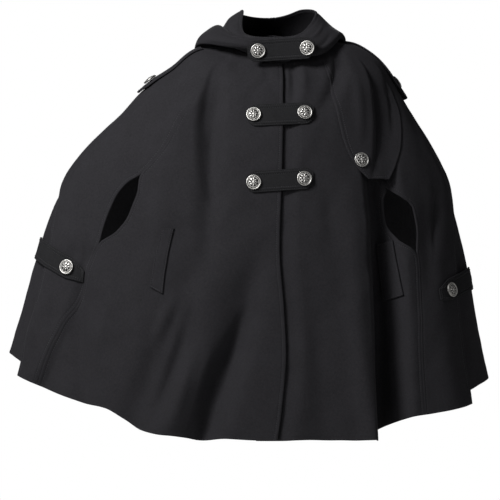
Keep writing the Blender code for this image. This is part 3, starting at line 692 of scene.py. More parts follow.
# %% [markdown]
# ## Milled coat wool
#
# The cloth is a melton: woven wool that is milled until its weave is hidden under a short, felted
# nap. It is dyed charcoal black. The eye sees a matt, slightly cloudy surface with a faint soft
# light at its turned edges, from the fibre ends. So the colour is mottled at two sizes, the
# roughness is high, a little sheen stands for the fibre ends, and the nap is a bump. Real nap is
# finer than a millimetre, too fine to show here, so it is drawn about 3.5 mm coarse, with a
# finer 1.4 mm grain under it for close views. The straps are of the same wool with painted shade:
# their copy of it has darker colours and is a little smoother.

# %% Wool
# Sizes of the pattern: the soft clouds of the dye, the nap, and the grain under it.
CLOUD_SIZE = 46 * MM
NAP_SIZE = 3.5 * MM
GRAIN_SIZE = 1.4 * MM
NAP_HEIGHT = 0.5 * MM


def coat_wool(name, dark, light, roughness, sheen):
    material, tree, shader = new_material(name)
    place = add_node(tree, "ShaderNodeTexCoord")
    patterns = []
    for size, detail, rough, distortion in (
        (CLOUD_SIZE, 3.0, 0.55, 0.0),
        (NAP_SIZE, 3.0, 0.6, 0.6),
        (GRAIN_SIZE, 2.0, 0.6, 0.0),
    ):
        pattern = add_node(
            tree,
            "ShaderNodeTexNoise",
            {"Scale": 1 / size, "Detail": detail, "Roughness": rough, "Distortion": distortion},
            {"Vector": place.outputs["Object"]},
        )
        patterns.append(pattern.outputs["Fac"])
    cloud, nap, grain = patterns
    both = add_node(
        tree,
        "ShaderNodeMath",
        {"operation": "MULTIPLY_ADD", 1: 0.35},
        {0: cloud, 2: nap},
    )
    ramp = add_node(
        tree,
        "ShaderNodeValToRGB",
        {"stops": ((0.35, dark), (1.0, light))},
        {"Fac": both.outputs["Value"]},
    )
    relief = add_node(
        tree,
        "ShaderNodeMath",
        {"operation": "MULTIPLY_ADD", 1: 0.5},
        {0: grain, 2: nap},
    )
    bump = add_node(
        tree,
        "ShaderNodeBump",
        {"Strength": 0.35, "Distance": NAP_HEIGHT},
        {"Height": relief.outputs["Value"]},
    )
    settings = {
        "Roughness": roughness,
        "IOR": 1.5,
        "Specular IOR Level": 0.25,
        "Sheen Weight": sheen,
        "Sheen Roughness": 0.45,
        "Sheen Tint": linear("#8C8B92"),
    }
    links = {"Base Color": ramp.outputs["Color"], "Normal": bump.outputs["Normal"]}
    set_node(tree, shader, settings, links)
    return material


WOOL = coat_wool("milled_charcoal_wool", "#29282B", "#38373B", 0.9, 0.12)
# The closing and side straps get a darker, slightly smoother copy of the wool: painted shade.
SHADED_STRAP_WOOL = coat_wool("charcoal_wool_painted_shade", "#212123", "#2F2F31", 0.88, 0.1)
print("made", WOOL.name, "and", SHADED_STRAP_WOOL.name)

# %% [markdown]
# ## Sewing thread
#
# The topstitching is polyester thread a shade lighter and smoother than the wool, so that it
# catches small lights along the edges. A fine noise along it stands for its twist.

# %% Thread
TWIST_SIZE = 0.8 * MM


def sewing_thread():
    material, tree, shader = new_material("black_polyester_thread")
    place = add_node(tree, "ShaderNodeTexCoord")
    twist = add_node(
        tree,
        "ShaderNodeTexNoise",
        {"Scale": 1 / TWIST_SIZE, "Detail": 1.0},
        {"Vector": place.outputs["Object"]},
    )
    ramp = add_node(
        tree,
        "ShaderNodeValToRGB",
        {"stops": ((0.0, "#29292C"), (1.0, "#4A494E"))},
        {"Fac": twist.outputs["Fac"]},
    )
    set_node(tree, shader, {"Roughness": 0.5, "IOR": 1.55}, {"Base Color": ramp.outputs["Color"]})
    return material


THREAD = sewing_thread()
print("made", THREAD.name)

# %% [markdown]
# ## Silvered metal
#
# The buttons are cast metal with a silver plate, darkened in the low places and rubbed bright on
# the high ones. A darkness for every point of the relief is stored with the mesh when the button
# is made, and here it mixes tarnish into the silver and makes it rougher.

# %% Silver
# The rubbing of the plate is uneven at about this size.
WEAR_SIZE = 1.1 * MM


def plated_silver():
    material, tree, shader = new_material("silver_plated_metal")
    place = add_node(tree, "ShaderNodeTexCoord")
    tarnish = add_node(tree, "ShaderNodeAttribute", {"attribute_name": "tarnish"})
    wear = add_node(
        tree,
        "ShaderNodeTexNoise",
        {"Scale": 1 / WEAR_SIZE, "Detail": 2.0},
        {"Vector": place.outputs["Object"]},
    )
    worn = add_node(
        tree,
        "ShaderNodeMath",
        {"operation": "MULTIPLY_ADD", 1: 0.25, "use_clamp": True},
        {0: wear.outputs["Fac"], 2: tarnish.outputs["Fac"]},
    )
    colour = add_node(
        tree,
        "ShaderNodeValToRGB",
        {"stops": ((0.23, "#F4F2EE"), (0.78, "#1E1D1B"))},
        {"Fac": worn.outputs["Value"]},
    )
    rough = add_node(
        tree,
        "ShaderNodeMapRange",
        {"To Min": 0.34, "To Max": 0.6},
        {"Value": worn.outputs["Value"]},
    )
    links = {"Base Color": colour.outputs["Color"], "Roughness": rough.outputs["Result"]}
    set_node(tree, shader, {"Metallic": 1.0}, links)
    return material


SILVER = plated_silver()
print("made", SILVER.name)

# %% [markdown]
# ## A sheet of cloth
#
# Every piece of cloth is a grid of points on its middle surface. A copy is pushed out by half the
# thickness and a copy is pushed in, and both meet at the rim. The thickness grows from nothing at
# the rim along a quarter circle, so a cut or folded edge comes out round, with no bevel needed.
# Grid lines are close together near the rims, at distances in millimetres, because the round edge
# and the topstitching are there, and even in the open cloth.

# %% Sheets with round rims
# Distances from a rim at which grid lines lie, and the ones along which a piece is stitched: 3, 7
# and 8 mm from the rim. Both rims together may take up twice NEAR_SHARE of a narrow piece.
NEAR = np.array([0, 0.15, 0.5, 1.0, 1.6, 2.3, 3.0, 3.8, 5.0, 6.1, 7.0, 8.0, 9.0, 10.6, 13, 17, 22]) * MM
STITCH_NARROW = 6
STITCH_EDGE = 10
STITCH_WIDE = 11
NEAR_SHARE = 0.46


def spaced(length, count):
    """Places across a length, in metres: close together near both ends and even between."""
    near = NEAR * np.minimum(1.0, NEAR_SHARE * length / NEAR[-1])
    u = np.linspace(0.0, 1.0, count + 2)[1:-1]
    middle = near[-1:] + (length - 2 * near[-1:]) * u
    return np.concatenate([near, middle, length - near[::-1]])


def grid_normal(middle):
    """Outward normals of a grid of points."""
    n = np.cross(np.gradient(middle, axis=0), np.gradient(middle, axis=1))
    return n / np.linalg.norm(n, axis=-1, keepdims=True)


def rounded(from_rim):
    """Half the thickness at a distance from the rim."""
    u = 1 - np.clip(from_rim / (WALL / 2), 0.0, 1.0)
    return WALL / 2 * np.sqrt(1 - u * u)


def stitched_edge(from_edge, line=7.0 * MM, sink=0.4, puff=0.3, dip=0.45):
    """How cloth swells between a turned edge and the topstitching that holds it down. It sinks at
    the edge, puffs out half way and dips at the line of stitches, all in millimetres."""
    d = from_edge / MM
    line = line / MM
    return MM * (
        -sink * np.exp(-((d / 1.4) ** 2))
        + puff * np.exp(-(((d - line / 2) / (line * 0.32)) ** 2))
        - dip * np.exp(-(((d - line) / 1.2) ** 2))
    )


def groove(from_edge, at, wide, deep):
    """A soft groove along a line at a distance from the edge; a ridge if its depth is negative."""
    return -deep * MM * np.exp(-(((from_edge - at * MM) / (wide * MM)) ** 2))


def new_piece(name, points, faces, material):
    """An object with a mesh and one material, shaded smooth."""
    mesh = bpy.data.meshes.new(name)
    mesh.from_pydata(points.tolist(), [], faces)
    mesh.shade_smooth()
    mesh.materials.append(material)
    obj = bpy.data.objects.new(name, mesh)
    bpy.context.scene.collection.objects.link(obj)
    return obj


def cloth_mesh(name, middle, from_rim, wool=WOOL, thin=1.0):
    """A closed sheet round a grid. Gives the object, the grid's outer points and its normals."""
    normal = grid_normal(middle)
    half = (rounded(from_rim) * thin)[..., None]
    outer = middle + normal * half
    inner = middle - normal * half
    rows, columns = middle.shape[:2]
    front = np.arange(rows * columns).reshape(rows, columns)
    back = front.copy()
    inside = (rows - 2) * (columns - 2)
    back[1:-1, 1:-1] = rows * columns + np.arange(inside).reshape(rows - 2, columns - 2)
    points = np.concatenate([outer.reshape(-1, 3), inner[1:-1, 1:-1].reshape(-1, 3)])
    faces = []
    for ids, order in ((front, (0, 1, 2, 3)), (back, (0, 3, 2, 1))):
        corners = [ids[:-1, :-1], ids[1:, :-1], ids[1:, 1:], ids[:-1, 1:]]
        faces.append(np.stack([corners[k].ravel() for k in order], axis=-1))
    obj = new_piece(name, points, np.concatenate(faces).tolist(), wool)
    return obj, outer, normal


def declare(obj, node, flat):
    """Hang a piece of cloth on the root, hide the node that it stands for and print the size it was cut
    to.
    """
    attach(obj, "root")
    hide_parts(node)
    print(f"{obj.name}: {len(obj.data.polygons)} faces, cut {flat[0]:.3f} by {flat[1]:.3f} m")


print("grid lines near a rim:", len(NEAR))

# %% [markdown]
# ## Topstitching
#
# A stitch of coat thread is a short bar that dives into the cloth at both ends. Here each is a
# small spindle, 3.4 mm long, one every 4.6 mm. Real thread is about 0.4 mm thick; these are
# drawn 1.1 mm thick so that the dashed line still shows. All stitches of a piece are one mesh.

# %% Stitches
STITCH_PITCH = 4.6 * MM
STITCH_LENGTH = 3.4 * MM
STITCH_THICK = 1.1 * MM
# How deep a stitch dives, and where along it the thread reaches its full thickness.
STITCH_DIVE = 0.25 * MM
STITCH_FULL = (0.28, 0.72)


def stitch_line(points, normals):
    """Spindles along a line of surface points."""
    steps = np.linalg.norm(np.diff(points, axis=0), axis=1)
    along = np.concatenate([[0.0], np.cumsum(steps)])
    centres = np.arange(STITCH_PITCH / 2, along[-1] - STITCH_PITCH / 2, STITCH_PITCH)
    vertices = []
    faces = []

    def at(grid, where):
        return np.array([np.interp(where, along, grid[:, k]) for k in range(3)])

    for centre in centres:
        a = at(points, centre - STITCH_LENGTH / 2)
        b = at(points, centre + STITCH_LENGTH / 2)
        n = at(normals, centre)
        n = n / np.linalg.norm(n)
        way = (b - a) / np.linalg.norm(b - a)
        side = np.cross(way, n) * STITCH_THICK / 2
        up = n * STITCH_THICK / 2
        low = n * STITCH_DIVE
        first = len(vertices)
        vertices.append(a - low)
        for share in STITCH_FULL:
            middle = a + (b - a) * share
            vertices.extend([middle + side, middle + up, middle - side, middle - up * 0.6])
        vertices.append(b - low)
        for k in range(4):
            m = (k + 1) % 4
            faces.append((first, first + 1 + m, first + 1 + k))
            faces.append((first + 1 + k, first + 1 + m, first + 5 + m, first + 5 + k))
            faces.append((first + 5 + k, first + 5 + m, first + 9))
    return vertices, faces


def sew(name, lines):
    """One mesh with the stitches of several lines. A line with no points has no stitches."""
    vertices = []
    faces = []
    for points, normals in lines:
        if len(points) < 2:
            continue
        more, more_faces = stitch_line(points, normals)
        first = len(vertices)
        vertices.extend(more)
        faces.extend(tuple(first + k for k in face) for face in more_faces)
    obj = new_piece(name, np.array(vertices), faces, THREAD)
    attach(obj, "root")
    print(f"{name}: {len(faces) // 12} stitches")


def lines_round(outer, normal, k):
    """The four lines of stitches along the sides of a piece, on the k-th grid line from its rim."""
    lines = [(outer[row, k:-k], normal[row, k:-k]) for row in (k, -1 - k)]
    return lines + [(outer[k:-k, column], normal[k:-k, column]) for column in (k, -1 - k)]


print("stitches in a metre:", round(1 / STITCH_PITCH))

# %% [markdown]
# ## The panels
#
# Five panels make the body of the cape: two fronts, two sides and one back. Each is a band of the
# cape's surface between two edges. Its rows run from neckline to hem. Sewn panels press into each
# other a little, so the gap between them is below nothing and no light comes through. Near a seam
# the cloth sinks into the join, swells over the seam allowance and dips under the topstitching.

# %% The panel maker
SEAM_GAP = -2.0 * MM
# The hem is turned up and shows as a faint groove: where, how wide and how deep, in millimetres.
HEM_GROOVE = (32, 2.2, 0.35)
# A seam is stitched where it shows more than this.
STITCHED = 0.3


def panel(name, rows, columns, low, high, shift, foot, strengths, flat, area):
    """A band of the cape between the lines low and high. shift moves it in, foot shapes its hem, and
    strengths say how much the seams at its first and last edge show down the cloth."""
    down = spaced(PANEL_LENGTH, rows)[:, None]
    t = down / PANEL_LENGTH
    first = low(t) + SEAM_GAP / 2 / speed(t, low(t))
    last = high(t) - SEAM_GAP / 2 / speed(t, high(t))
    pace_first = speed(t, first)
    pace_last = speed(t, last)
    scale = np.minimum(1.0, NEAR_SHARE * (last - first) * (pace_first + pace_last) / 2 / NEAR[-1])
    near_first = first + NEAR[None, :] * scale / pace_first
    near_last = last - NEAR[None, ::-1] * scale / pace_last
    u = np.linspace(0.0, 1.0, columns + 2)[None, 1:-1]
    between = near_first[:, -1:] + (near_last[:, :1] - near_first[:, -1:]) * u
    phi = np.concatenate([near_first, between, near_last], axis=1)
    from_first = (phi - first) * pace_first
    from_last = (last - phi) * pace_last
    t = foot(t * np.ones(phi.shape), phi)
    from_hem = (PANEL_LENGTH - down) * np.ones(phi.shape)
    from_neck = down * np.ones(phi.shape)
    out = shift(t, phi)
    for strength, away in zip(strengths, (from_first, from_last)):
        out = out + curve(*strength, t) * stitched_edge(away)
    out = out + groove(from_hem, *HEM_GROOVE)
    middle = cape(t, phi) + facing(cape, t, phi) * out[..., None]
    rim = np.minimum(np.minimum(from_first, from_last), np.minimum(from_hem, from_neck))
    obj, outer, normal = cloth_mesh("cloth_" + name, middle, rim)
    declare(obj, name, flat)
    lines = []
    for strength, column in zip(strengths, (STITCH_EDGE, -1 - STITCH_EDGE)):
        sewn = curve(*strength, t[:, 0]) > STITCHED
        lines.append((outer[sewn, column], normal[sewn, column]))
    sew("stitches_" + name, lines)


print("panels overlap at their seams by mm:", -SEAM_GAP / MM)

# %% Fronts, sides and back
# How strongly a seam shows at places down the cloth: t, then the share.
PLAIN = ((0.0, 1.0), (1.0, 1.0))
HIDDEN = ((0.0, 1.0), (0.0, 0.0))
RAGLAN = ((0.0, 0.10, 0.24, 0.32, 0.50, 1.0), (0.0, 0.0, 0.35, 0.9, 1.1, 1.1))
VENT = ((0.0, 0.30, 0.50, 1.0), (0.35, 0.35, 0.9, 0.9))

PANELS = (
    # name, rows, columns, first edge, last edge, shift, foot
    ("front_right", 74, 70, RIGHT_FRONT_EDGE, CLOSURE_EDGE, flat_shift, front_foot),
    ("front_left", 74, 150, underlap_edge, LEFT_FRONT_EDGE, under_closure, front_foot),
    ("side_right", 74, 26, RIGHT_VENT, right_side_edge, flat_shift, front_foot),
    ("side_left", 74, 30, left_side_edge, LEFT_VENT, flat_shift, front_foot),
    ("back", 70, 130, back_low, back_high, under_vents, back_foot),
)
# The seams at both edges, the flat size that a panel is cut from and its area, in metres.
SEAMS_AND_CUTS = (
    ((RAGLAN, PLAIN), (0.55, 0.80), 0.268),
    ((HIDDEN, RAGLAN), (0.50, 0.80), 0.238),
    ((VENT, RAGLAN), (0.24, 0.76), 0.106),
    ((RAGLAN, VENT), (0.26, 0.76), 0.113),
    ((VENT, VENT), (1.40, 0.85), 0.831),
)
for form, cut in zip(PANELS, SEAMS_AND_CUTS):
    panel(*form, *cut)

# %% [markdown]
# ## The hood
#
# The hood lies down behind the neck. Its cloth rises from the neckline seam, rolls over at the
# shoulders, hangs as a pouch at the back and returns to its rim, so it is a deep soft ring. It
# is drawn as sections at eight directions round the neck, joined smoothly, and it is never lower
# than the cape that it rests on. Its two halves meet in a seam behind and close at the throat.

# %% Sections of the hood
# The hood, lying down: its section from the neckline seam, out over the shoulder, round its fold
# and back to its rim, at degrees round the neck. Each pair of rows is the distance from the neck's
# axis and the height.
HOOD = {
    0: ((80, 84, 86, 87.5, 88, 88, 87.5, 86, 83, 77), (-18, -13, -8, -2, 4, 10, 16, 21, 26, 30)),
    45: ((83, 98, 114, 126, 129, 119, 107, 98, 88, 77), (8, 3, -2, -6, 5, 18, 28, 33, 37, 39)),
    90: ((86, 108, 128, 141, 143, 132, 117, 106, 97, 87), (32, 34, 33, 33, 41, 49, 58, 68, 77, 86)),
    135: ((80, 104, 140, 172, 184, 180, 160, 137, 110, 83), (36, 24, 0, -40, -30, 4, 36, 57, 80, 97)),
    180: (
        (72, 100, 146, 174, 198, 220, 212, 182, 142, 106),
        (41, -4, -106, -203, -206, -142, -50, 20, 64, 84),
    ),
    225: ((80, 104, 140, 172, 184, 180, 160, 137, 110, 84), (32, 21, -4, -44, -34, 0, 32, 52, 72, 86)),
    270: ((86, 114, 142, 157, 152, 135, 114, 99, 88, 60), (24, 26, 21, 19, 33, 49, 60, 53, 72, 90)),
    315: ((83, 95, 108, 119, 124, 117, 107, 98, 89, 78), (4, 7, 9, 11, 19, 27, 31, 33, 36, 38)),
}
# How far the hood keeps off the cape, and how much more beside the shoulder straps, which lie under
# it at STRAP_ANGLE degrees to both sides, fading over STRAP_SPREAD degrees.
HOOD_CLEAR = 4.2 * MM
STRAP_CLEAR = 5.0 * MM
STRAP_ANGLE = 92
STRAP_SPREAD = 24
# The hood reaches down the cape to less than this t, and resting() halves that range so often.
HOOD_LOWEST = 0.6
HALVINGS = 22
FLATTEST = 0.3


def hood(s, phi):
    """A point of the hood: s runs from the neckline seam, 0, to the rim, 1."""
    sections = list(HOOD.values())
    count = len(sections)
    places = np.linspace(0.0, 1.0, len(sections[0][0]))
    turned = np.degrees(phi) % 360.0 / (360 / count)
    i = np.floor(turned).astype(int) % count
    u = turned - np.floor(turned)
    reach = np.zeros(np.broadcast(s, phi).shape)
    height = np.zeros(reach.shape)
    weights = (
        -0.5 * u + u**2 - 0.5 * u**3,
        1 - 2.5 * u**2 + 1.5 * u**3,
        0.5 * u + 2 * u**2 - 1.5 * u**3,
        -0.5 * u**2 + 0.5 * u**3,
    )
    for k, weight in enumerate(weights):
        for number, (reaches, heights) in enumerate(sections):
            here = ((i + k - 1) % count) == number
            reach = reach + here * weight * curve(places, reaches, s)
            height = height + here * weight * curve(places, heights, s)
    reach = reach * MM
    height = np.maximum(height * MM, resting(reach, phi))
    return np.stack([reach * np.sin(phi), -reach * np.cos(phi), height], axis=-1)


def resting(reach, angle):
    """The lowest that the hood may be at this distance from the neck: just over the cape."""
    low = np.zeros(reach.shape)
    high = np.full(reach.shape, HOOD_LOWEST)
    for _ in range(HALVINGS):
        t = (low + high) / 2
        along, _, depth, _ = ring(t, angle)
        phi = np.arctan2(depth * np.sin(angle), along * np.cos(angle))
        p = smooth_cape(t, phi)
        inside = np.hypot(p[..., 0], p[..., 1]) < reach
        low = np.where(inside, t, low)
        high = np.where(inside, high, t)
    up = np.maximum(facing(smooth_cape, t, phi)[..., 2], FLATTEST)
    beside = np.abs(np.degrees(within_half_turn(angle)))
    clear = HOOD_CLEAR + STRAP_CLEAR * np.exp(-(((beside - STRAP_ANGLE) / STRAP_SPREAD) ** 4))
    return p[..., 2] + clear / up


print("hood sections:", len(HOOD))

# %% [markdown]
# A hood that lies down has soft breaks where its doubled cloth folds over the shoulder. They
# are short creases again, placed by s, the share of the way from the neckline seam to the rim,
# and by the direction round the neck.

# %% Creases of the hood
HOOD_CREASES = (
    # name, s0, angle0, s1, angle1, half, high
    ("right shoulder break", 0.22, -86, 0.34, -30, 6, -4.0),
    ("right shoulder roll", 0.36, -84, 0.50, -34, 8, 2.5),
    ("right neck break", 0.55, -70, 0.70, -22, 7, -2.5),
    ("left shoulder break", 0.42, 30, 0.60, 78, 7, -3.0),
    ("left shoulder roll", 0.62, 34, 0.80, 84, 8, 2.5),
    ("left rim dip", 0.74, 20, 0.96, 50, 7, -2.0),
    ("back break 1", 0.30, 150, 0.62, 138, 10, -4.0),
    ("back break 2", 0.34, -148, 0.66, -140, 10, -4.0),
    ("back ridge 1", 0.55, 168, 0.92, 160, 11, 3.0),
    ("back ridge 2", 0.52, -166, 0.90, -156, 11, 3.0),
    ("side break left", 0.30, 112, 0.60, 104, 9, -3.0),
    ("side break right", 0.30, -116, 0.62, -108, 9, -3.0),
)
# How many metres of cloth a radian round the neck is, and how deep the hood is from seam to rim.
HOOD_ROUND = 0.13
HOOD_DEEP = 0.30


def hood_creases(s, angle):
    out = np.zeros(np.broadcast(s, angle).shape)
    for _, s0, a0, s1, a1, half, high in HOOD_CREASES:
        line = (s0, math.radians(a0), s1, math.radians(a1))
        along, beside = by_line(s, angle, line, HOOD_DEEP, HOOD_ROUND)
        out = out + crease(along, beside, half * MM, high * MM)
    return out


print("hood creases:", len(HOOD_CREASES))

# %% The two halves of the hood
HOOD_OPENING = math.radians(4.0)
HOOD_HALF_LENGTH = 0.36
HOOD_ROWS = 46
HOOD_COLUMNS = 60
HOOD_DIP = 0.6


def seam_turn(s, angle):
    """Half the gap at a seam of the hood, as an angle, for every place along the seam."""
    p = hood(s, np.full(s.shape, angle))
    return SEAM_GAP / 2 / np.hypot(p[..., 0], p[..., 1])


def run_along(points, axis):
    """The length of cloth from a grid's first row or column to each of its points."""
    run = np.cumsum(np.linalg.norm(np.diff(points, axis=axis), axis=2), axis=axis)
    return np.concatenate([np.zeros_like(run.take([0], axis=axis)), run], axis=axis)


def hood_half(name, first, last):
    u = spaced(HOOD_HALF_LENGTH, HOOD_COLUMNS)[None, :] / HOOD_HALF_LENGTH
    s = spaced(HOOD_DEEP, HOOD_ROWS)[:, None] / HOOD_DEEP * np.ones(u.shape)
    first = first + seam_turn(s[:, :1], first)
    last = last - seam_turn(s[:, :1], last)
    angle = first + (last - first) * u
    base = hood(s, angle)
    outward = -facing(hood, s, angle)
    from_first = run_along(base, 1)
    from_last = from_first[:, -1:] - from_first
    from_seam = run_along(base, 0)
    from_rim = from_seam[-1:, :] - from_seam
    out = hood_creases(s, angle) + stitched_edge(from_rim, dip=HOOD_DIP)
    out = out + stitched_edge(np.minimum(from_first, from_last), dip=HOOD_DIP)
    middle = (base + outward * out[..., None])[::-1]
    rim = np.minimum(np.minimum(from_first, from_last), np.minimum(from_seam, from_rim))[::-1]
    obj, outer, normal = cloth_mesh("cloth_" + name, middle, rim)
    declare(obj, name, (0.42, 0.34))
    sew("stitches_" + name, [(outer[STITCH_EDGE], normal[STITCH_EDGE])])


hood_half("hood_right", -math.pi, HOOD_OPENING)
hood_half("hood_left", HOOD_OPENING, math.pi)

# %% [markdown]
# ## Laying pieces on the cloth
#
# Straps are placed where they are seen from the front, so a ray is sent from the eye through each
# seen place, and the strap takes the point where it meets the cape or the hood.

# %% Rays from the eye
HALF_ROUND = math.pi / 2
# Heights over a strap's middle, in millimetres, at which the hood's front is felt for.
FEELERS = (-20, -12, -4, 4, 12, 20)


def tree_of(surface, rows, columns):
    """A fine mesh of the front half of a surface, for laying pieces on it."""
    s = np.linspace(0.0, 1.0, rows)[:, None] * np.ones((1, columns))
    phi = np.linspace(-HALF_ROUND, HALF_ROUND, columns)[None, :] * np.ones((rows, 1))
    points = surface(s, phi).reshape(-1, 3)
    faces = [
        (i * columns + j, (i + 1) * columns + j, (i + 1) * columns + j + 1, i * columns + j + 1)
        for i in range(rows - 1)
        for j in range(columns - 1)
    ]
    return BVHTree.FromPolygons([tuple(p) for p in points], faces)


def laid(tree, x, z):
    """The point of a surface that is seen at x and z, in millimetres."""
    eye = np.array([EYE_SIDE, -EYE_DISTANCE, EYE_HEIGHT])
    to = np.array([x * MM, 0.0, z * MM]) - eye
    hit = tree.ray_cast(tuple(eye), tuple(to / np.linalg.norm(to)))
    return np.array(hit[0])


def collar_line(tree, x, z):
    """How far out the hood's front stands over a strap's height, at x."""
    found = []
    for dz in FEELERS:
        hit = tree.ray_cast((x * MM, -1.0, (z + dz) * MM), (0.0, 1.0, 0.0))[0]
        if hit is not None:
            found.append(hit[1])
    return min(found)


CAPE_TREE = tree_of(cape, 161, 181)
HOOD_TREE = tree_of(hood, 91, 121)
print("middle of the chest:", [round(float(c), 3) for c in laid(CAPE_TREE, 0, -200)])

# %% [markdown]
# ## A strap
#
# Each strap is a doubled band of wool with a blunt point, turned, pressed and then topstitched
# twice round, 3 mm and 8 mm from its edge. It is a smooth patch of surface that narrows to the
# strap's outline, so its stitching follows the outline by itself.

# %% The strap maker
STRAP_COLUMNS = 40
STRAP_ROWS = 8
# At its very end a strap is this share of its width, and the power rounds its point.
TIP_WIDTH = 0.45
TIP_POWER = 0.7
# Grooves and one ridge round a strap: where, how wide and how deep, in millimetres.
STRAP_GROOVES = ((8, 1.3, 0.8), (14, 1.6, 0.9), (5.5, 1.5, -0.45))


def strap_outline(u, blunt, both):
    """How wide a strap is at u, from 0 to 1 along it: full, then in to a blunt point."""
    ends = np.minimum(1 - u, u) if both else 1 - u
    return TIP_WIDTH + (1 - TIP_WIDTH) * np.clip(ends / blunt, 0.0, 1.0) ** TIP_POWER


# By default a strap takes the darker copy of the wool, whose colours paint the straps' shade.
def strap(name, surface, length, half, blunt, both, flat, wool=SHADED_STRAP_WOOL):
    """surface(u, v) gives points along, 0 to 1, and across, -1 to 1 at the strap's full width."""
    along = spaced(length, STRAP_COLUMNS)[None, :]
    across = spaced(2 * half, STRAP_ROWS)[:, None]
    u = along / length * np.ones(across.shape)
    v = (across / half - 1) * np.ones(along.shape)
    outline = strap_outline(u, blunt, both)
    base = surface(u, v * outline)
    from_side = np.minimum(across, 2 * half - across) * outline
    from_end = np.minimum(along, length - along) * np.ones(across.shape)
    from_edge = np.minimum(from_side, from_end)
    out = stitched_edge(from_edge, 3.0 * MM, 0.2, 0.2, 0.7)
    for row in STRAP_GROOVES:
        out = out + groove(from_edge, *row)
    middle = base + grid_normal(base) * out[..., None]
    obj, outer, normal = cloth_mesh("cloth_" + name, middle, from_edge, wool)
    declare(obj, name, flat)
    lines = lines_round(outer, normal, STITCH_NARROW) + lines_round(outer, normal, STITCH_WIDE)
    sew("stitches_" + name, lines)


print("a strap's end is this share of its width:", strap_outline(1.0, 0.1, False))

# %% [markdown]
# ## The closing straps
#
# Three straps hold the front closed, at the collar, the chest and the waist, each across the
# closure's edge. The collar strap bridges the two halves of the hood's stand. All three have a
# point at both ends. A low polynomial through a few laid points keeps a strap smooth, because
# doubled cloth doesn't follow every crease that it lies on.

# %% Closing straps
# The three closing tabs, seen: the middles of their two ends.
TABS = (
    # name, end_x, end_z, end_x, end_z
    ("collar", -52, 0, 84, 8),
    ("chest", -52, -126, 84, -120),
    ("waist", -54, -262, 83, -253),
)
TAB_LENGTH = 0.137
TAB_HALF = 22.0 * MM
TAB_BLUNT = 0.10
TAB_LIFT = 3.5 * MM
COLLAR_LIFT = 3.2 * MM
# Points laid across and along a strap, and how many terms its polynomial has across and along.
LAID_ACROSS = 5
LAID_ALONG = 15
TERMS_ACROSS = 3
TERMS_ALONG = 6


def smooth_patch(grid):
    """A smooth surface through a coarse grid: a low polynomial along it and across it."""
    v = np.linspace(-1.0, 1.0, LAID_ACROSS)[:, None] * np.ones((1, LAID_ALONG))
    u = np.linspace(0.0, 1.0, LAID_ALONG)[None, :] * np.ones((LAID_ACROSS, 1))

    def terms(u, v):
        powers = [(i, j) for i in range(TERMS_ALONG) for j in range(TERMS_ACROSS)]
        return np.stack([u**i * v**j for i, j in powers], axis=-1)

    known = terms(u, v).reshape(-1, TERMS_ALONG * TERMS_ACROSS)
    fitted = np.linalg.lstsq(known, grid.reshape(-1, 3), rcond=None)[0]
    return lambda u, v: terms(u, v) @ fitted


def closing_strap(name, x0, z0, x1, z1):
    grid = np.zeros((LAID_ACROSS, LAID_ALONG, 3))
    for j, u in enumerate(np.linspace(0.0, 1.0, LAID_ALONG)):
        for i, v in enumerate(np.linspace(-1.0, 1.0, LAID_ACROSS)):
            x = x0 + (x1 - x0) * u
            z = z0 + (z1 - z0) * u - v * TAB_HALF / MM
            if name == "collar":
                grid[i, j] = (x * MM, collar_line(HOOD_TREE, x, z0 + (z1 - z0) * u), z * MM)
            else:
                grid[i, j] = laid(CAPE_TREE, x, z)
    lift = TAB_LIFT
    if name == "collar":
        across = grid[LAID_ACROSS // 2]
        line = np.polyval(np.polyfit(across[:, 0], across[:, 1], 2), across[:, 0])
        line = line - max(0.0, float((line - across[:, 1]).max()))
        grid[:, :, 1] = line[None, :]
        lift = COLLAR_LIFT
    patch = smooth_patch(grid + grid_normal(grid) * lift)
    strap(f"{name}_tab", patch, TAB_LENGTH, TAB_HALF, TAB_BLUNT, True, (0.14, 0.046))


for row in TABS:
    closing_strap(*row)

# %% [markdown]
# ## The storm flap
#
# The storm flap covers the left shoulder and chest and buttons down at its corner. It is sewn in
# at its top and its outer side, where it is thin and lies close. Its inner edge is free, stands
# off the chest a little and catches the light.

# %% Storm flap
# The storm flap on the wearer's left: its free inner edge and its outer edge, seen.
FLAP_INNER = (
    (102, -14), (110, -36), (117, -62), (123, -90), (129, -115),
    (141, -168), (152, -199), (162, -217), (176, -238), (194, -255),
)
FLAP_OUTER = (
    (152, 10), (190, -3), (219, -31), (236, -58), (249, -86),
    (260, -120), (264, -158), (261, -195), (252, -226), (238, -256),
)
FLAP_ACROSS = 0.12
FLAP_DOWN = 0.29
# How far the flap's middle is off the cape where it is sewn in, and where it is loose.
FLAP_SEWN_LIFT = 2.3 * MM
FLAP_LIFT = 5.0 * MM
FLAP_THINNEST = 0.4


def table_edge(table, at):
    """The t and phi of a smooth line through a table of seen places, at shares along the line."""
    v = np.linspace(0.0, 1.0, len(table))
    rows = np.linspace(0.0, 1.0, 15)
    xs = curve(v, [p[0] for p in table], rows)
    zs = curve(v, [p[1] for p in table], rows)
    ends = [find(x, z) for x, z in zip(xs, zs)]
    return [curve(rows, [end[k] for end in ends], at) for k in range(2)]


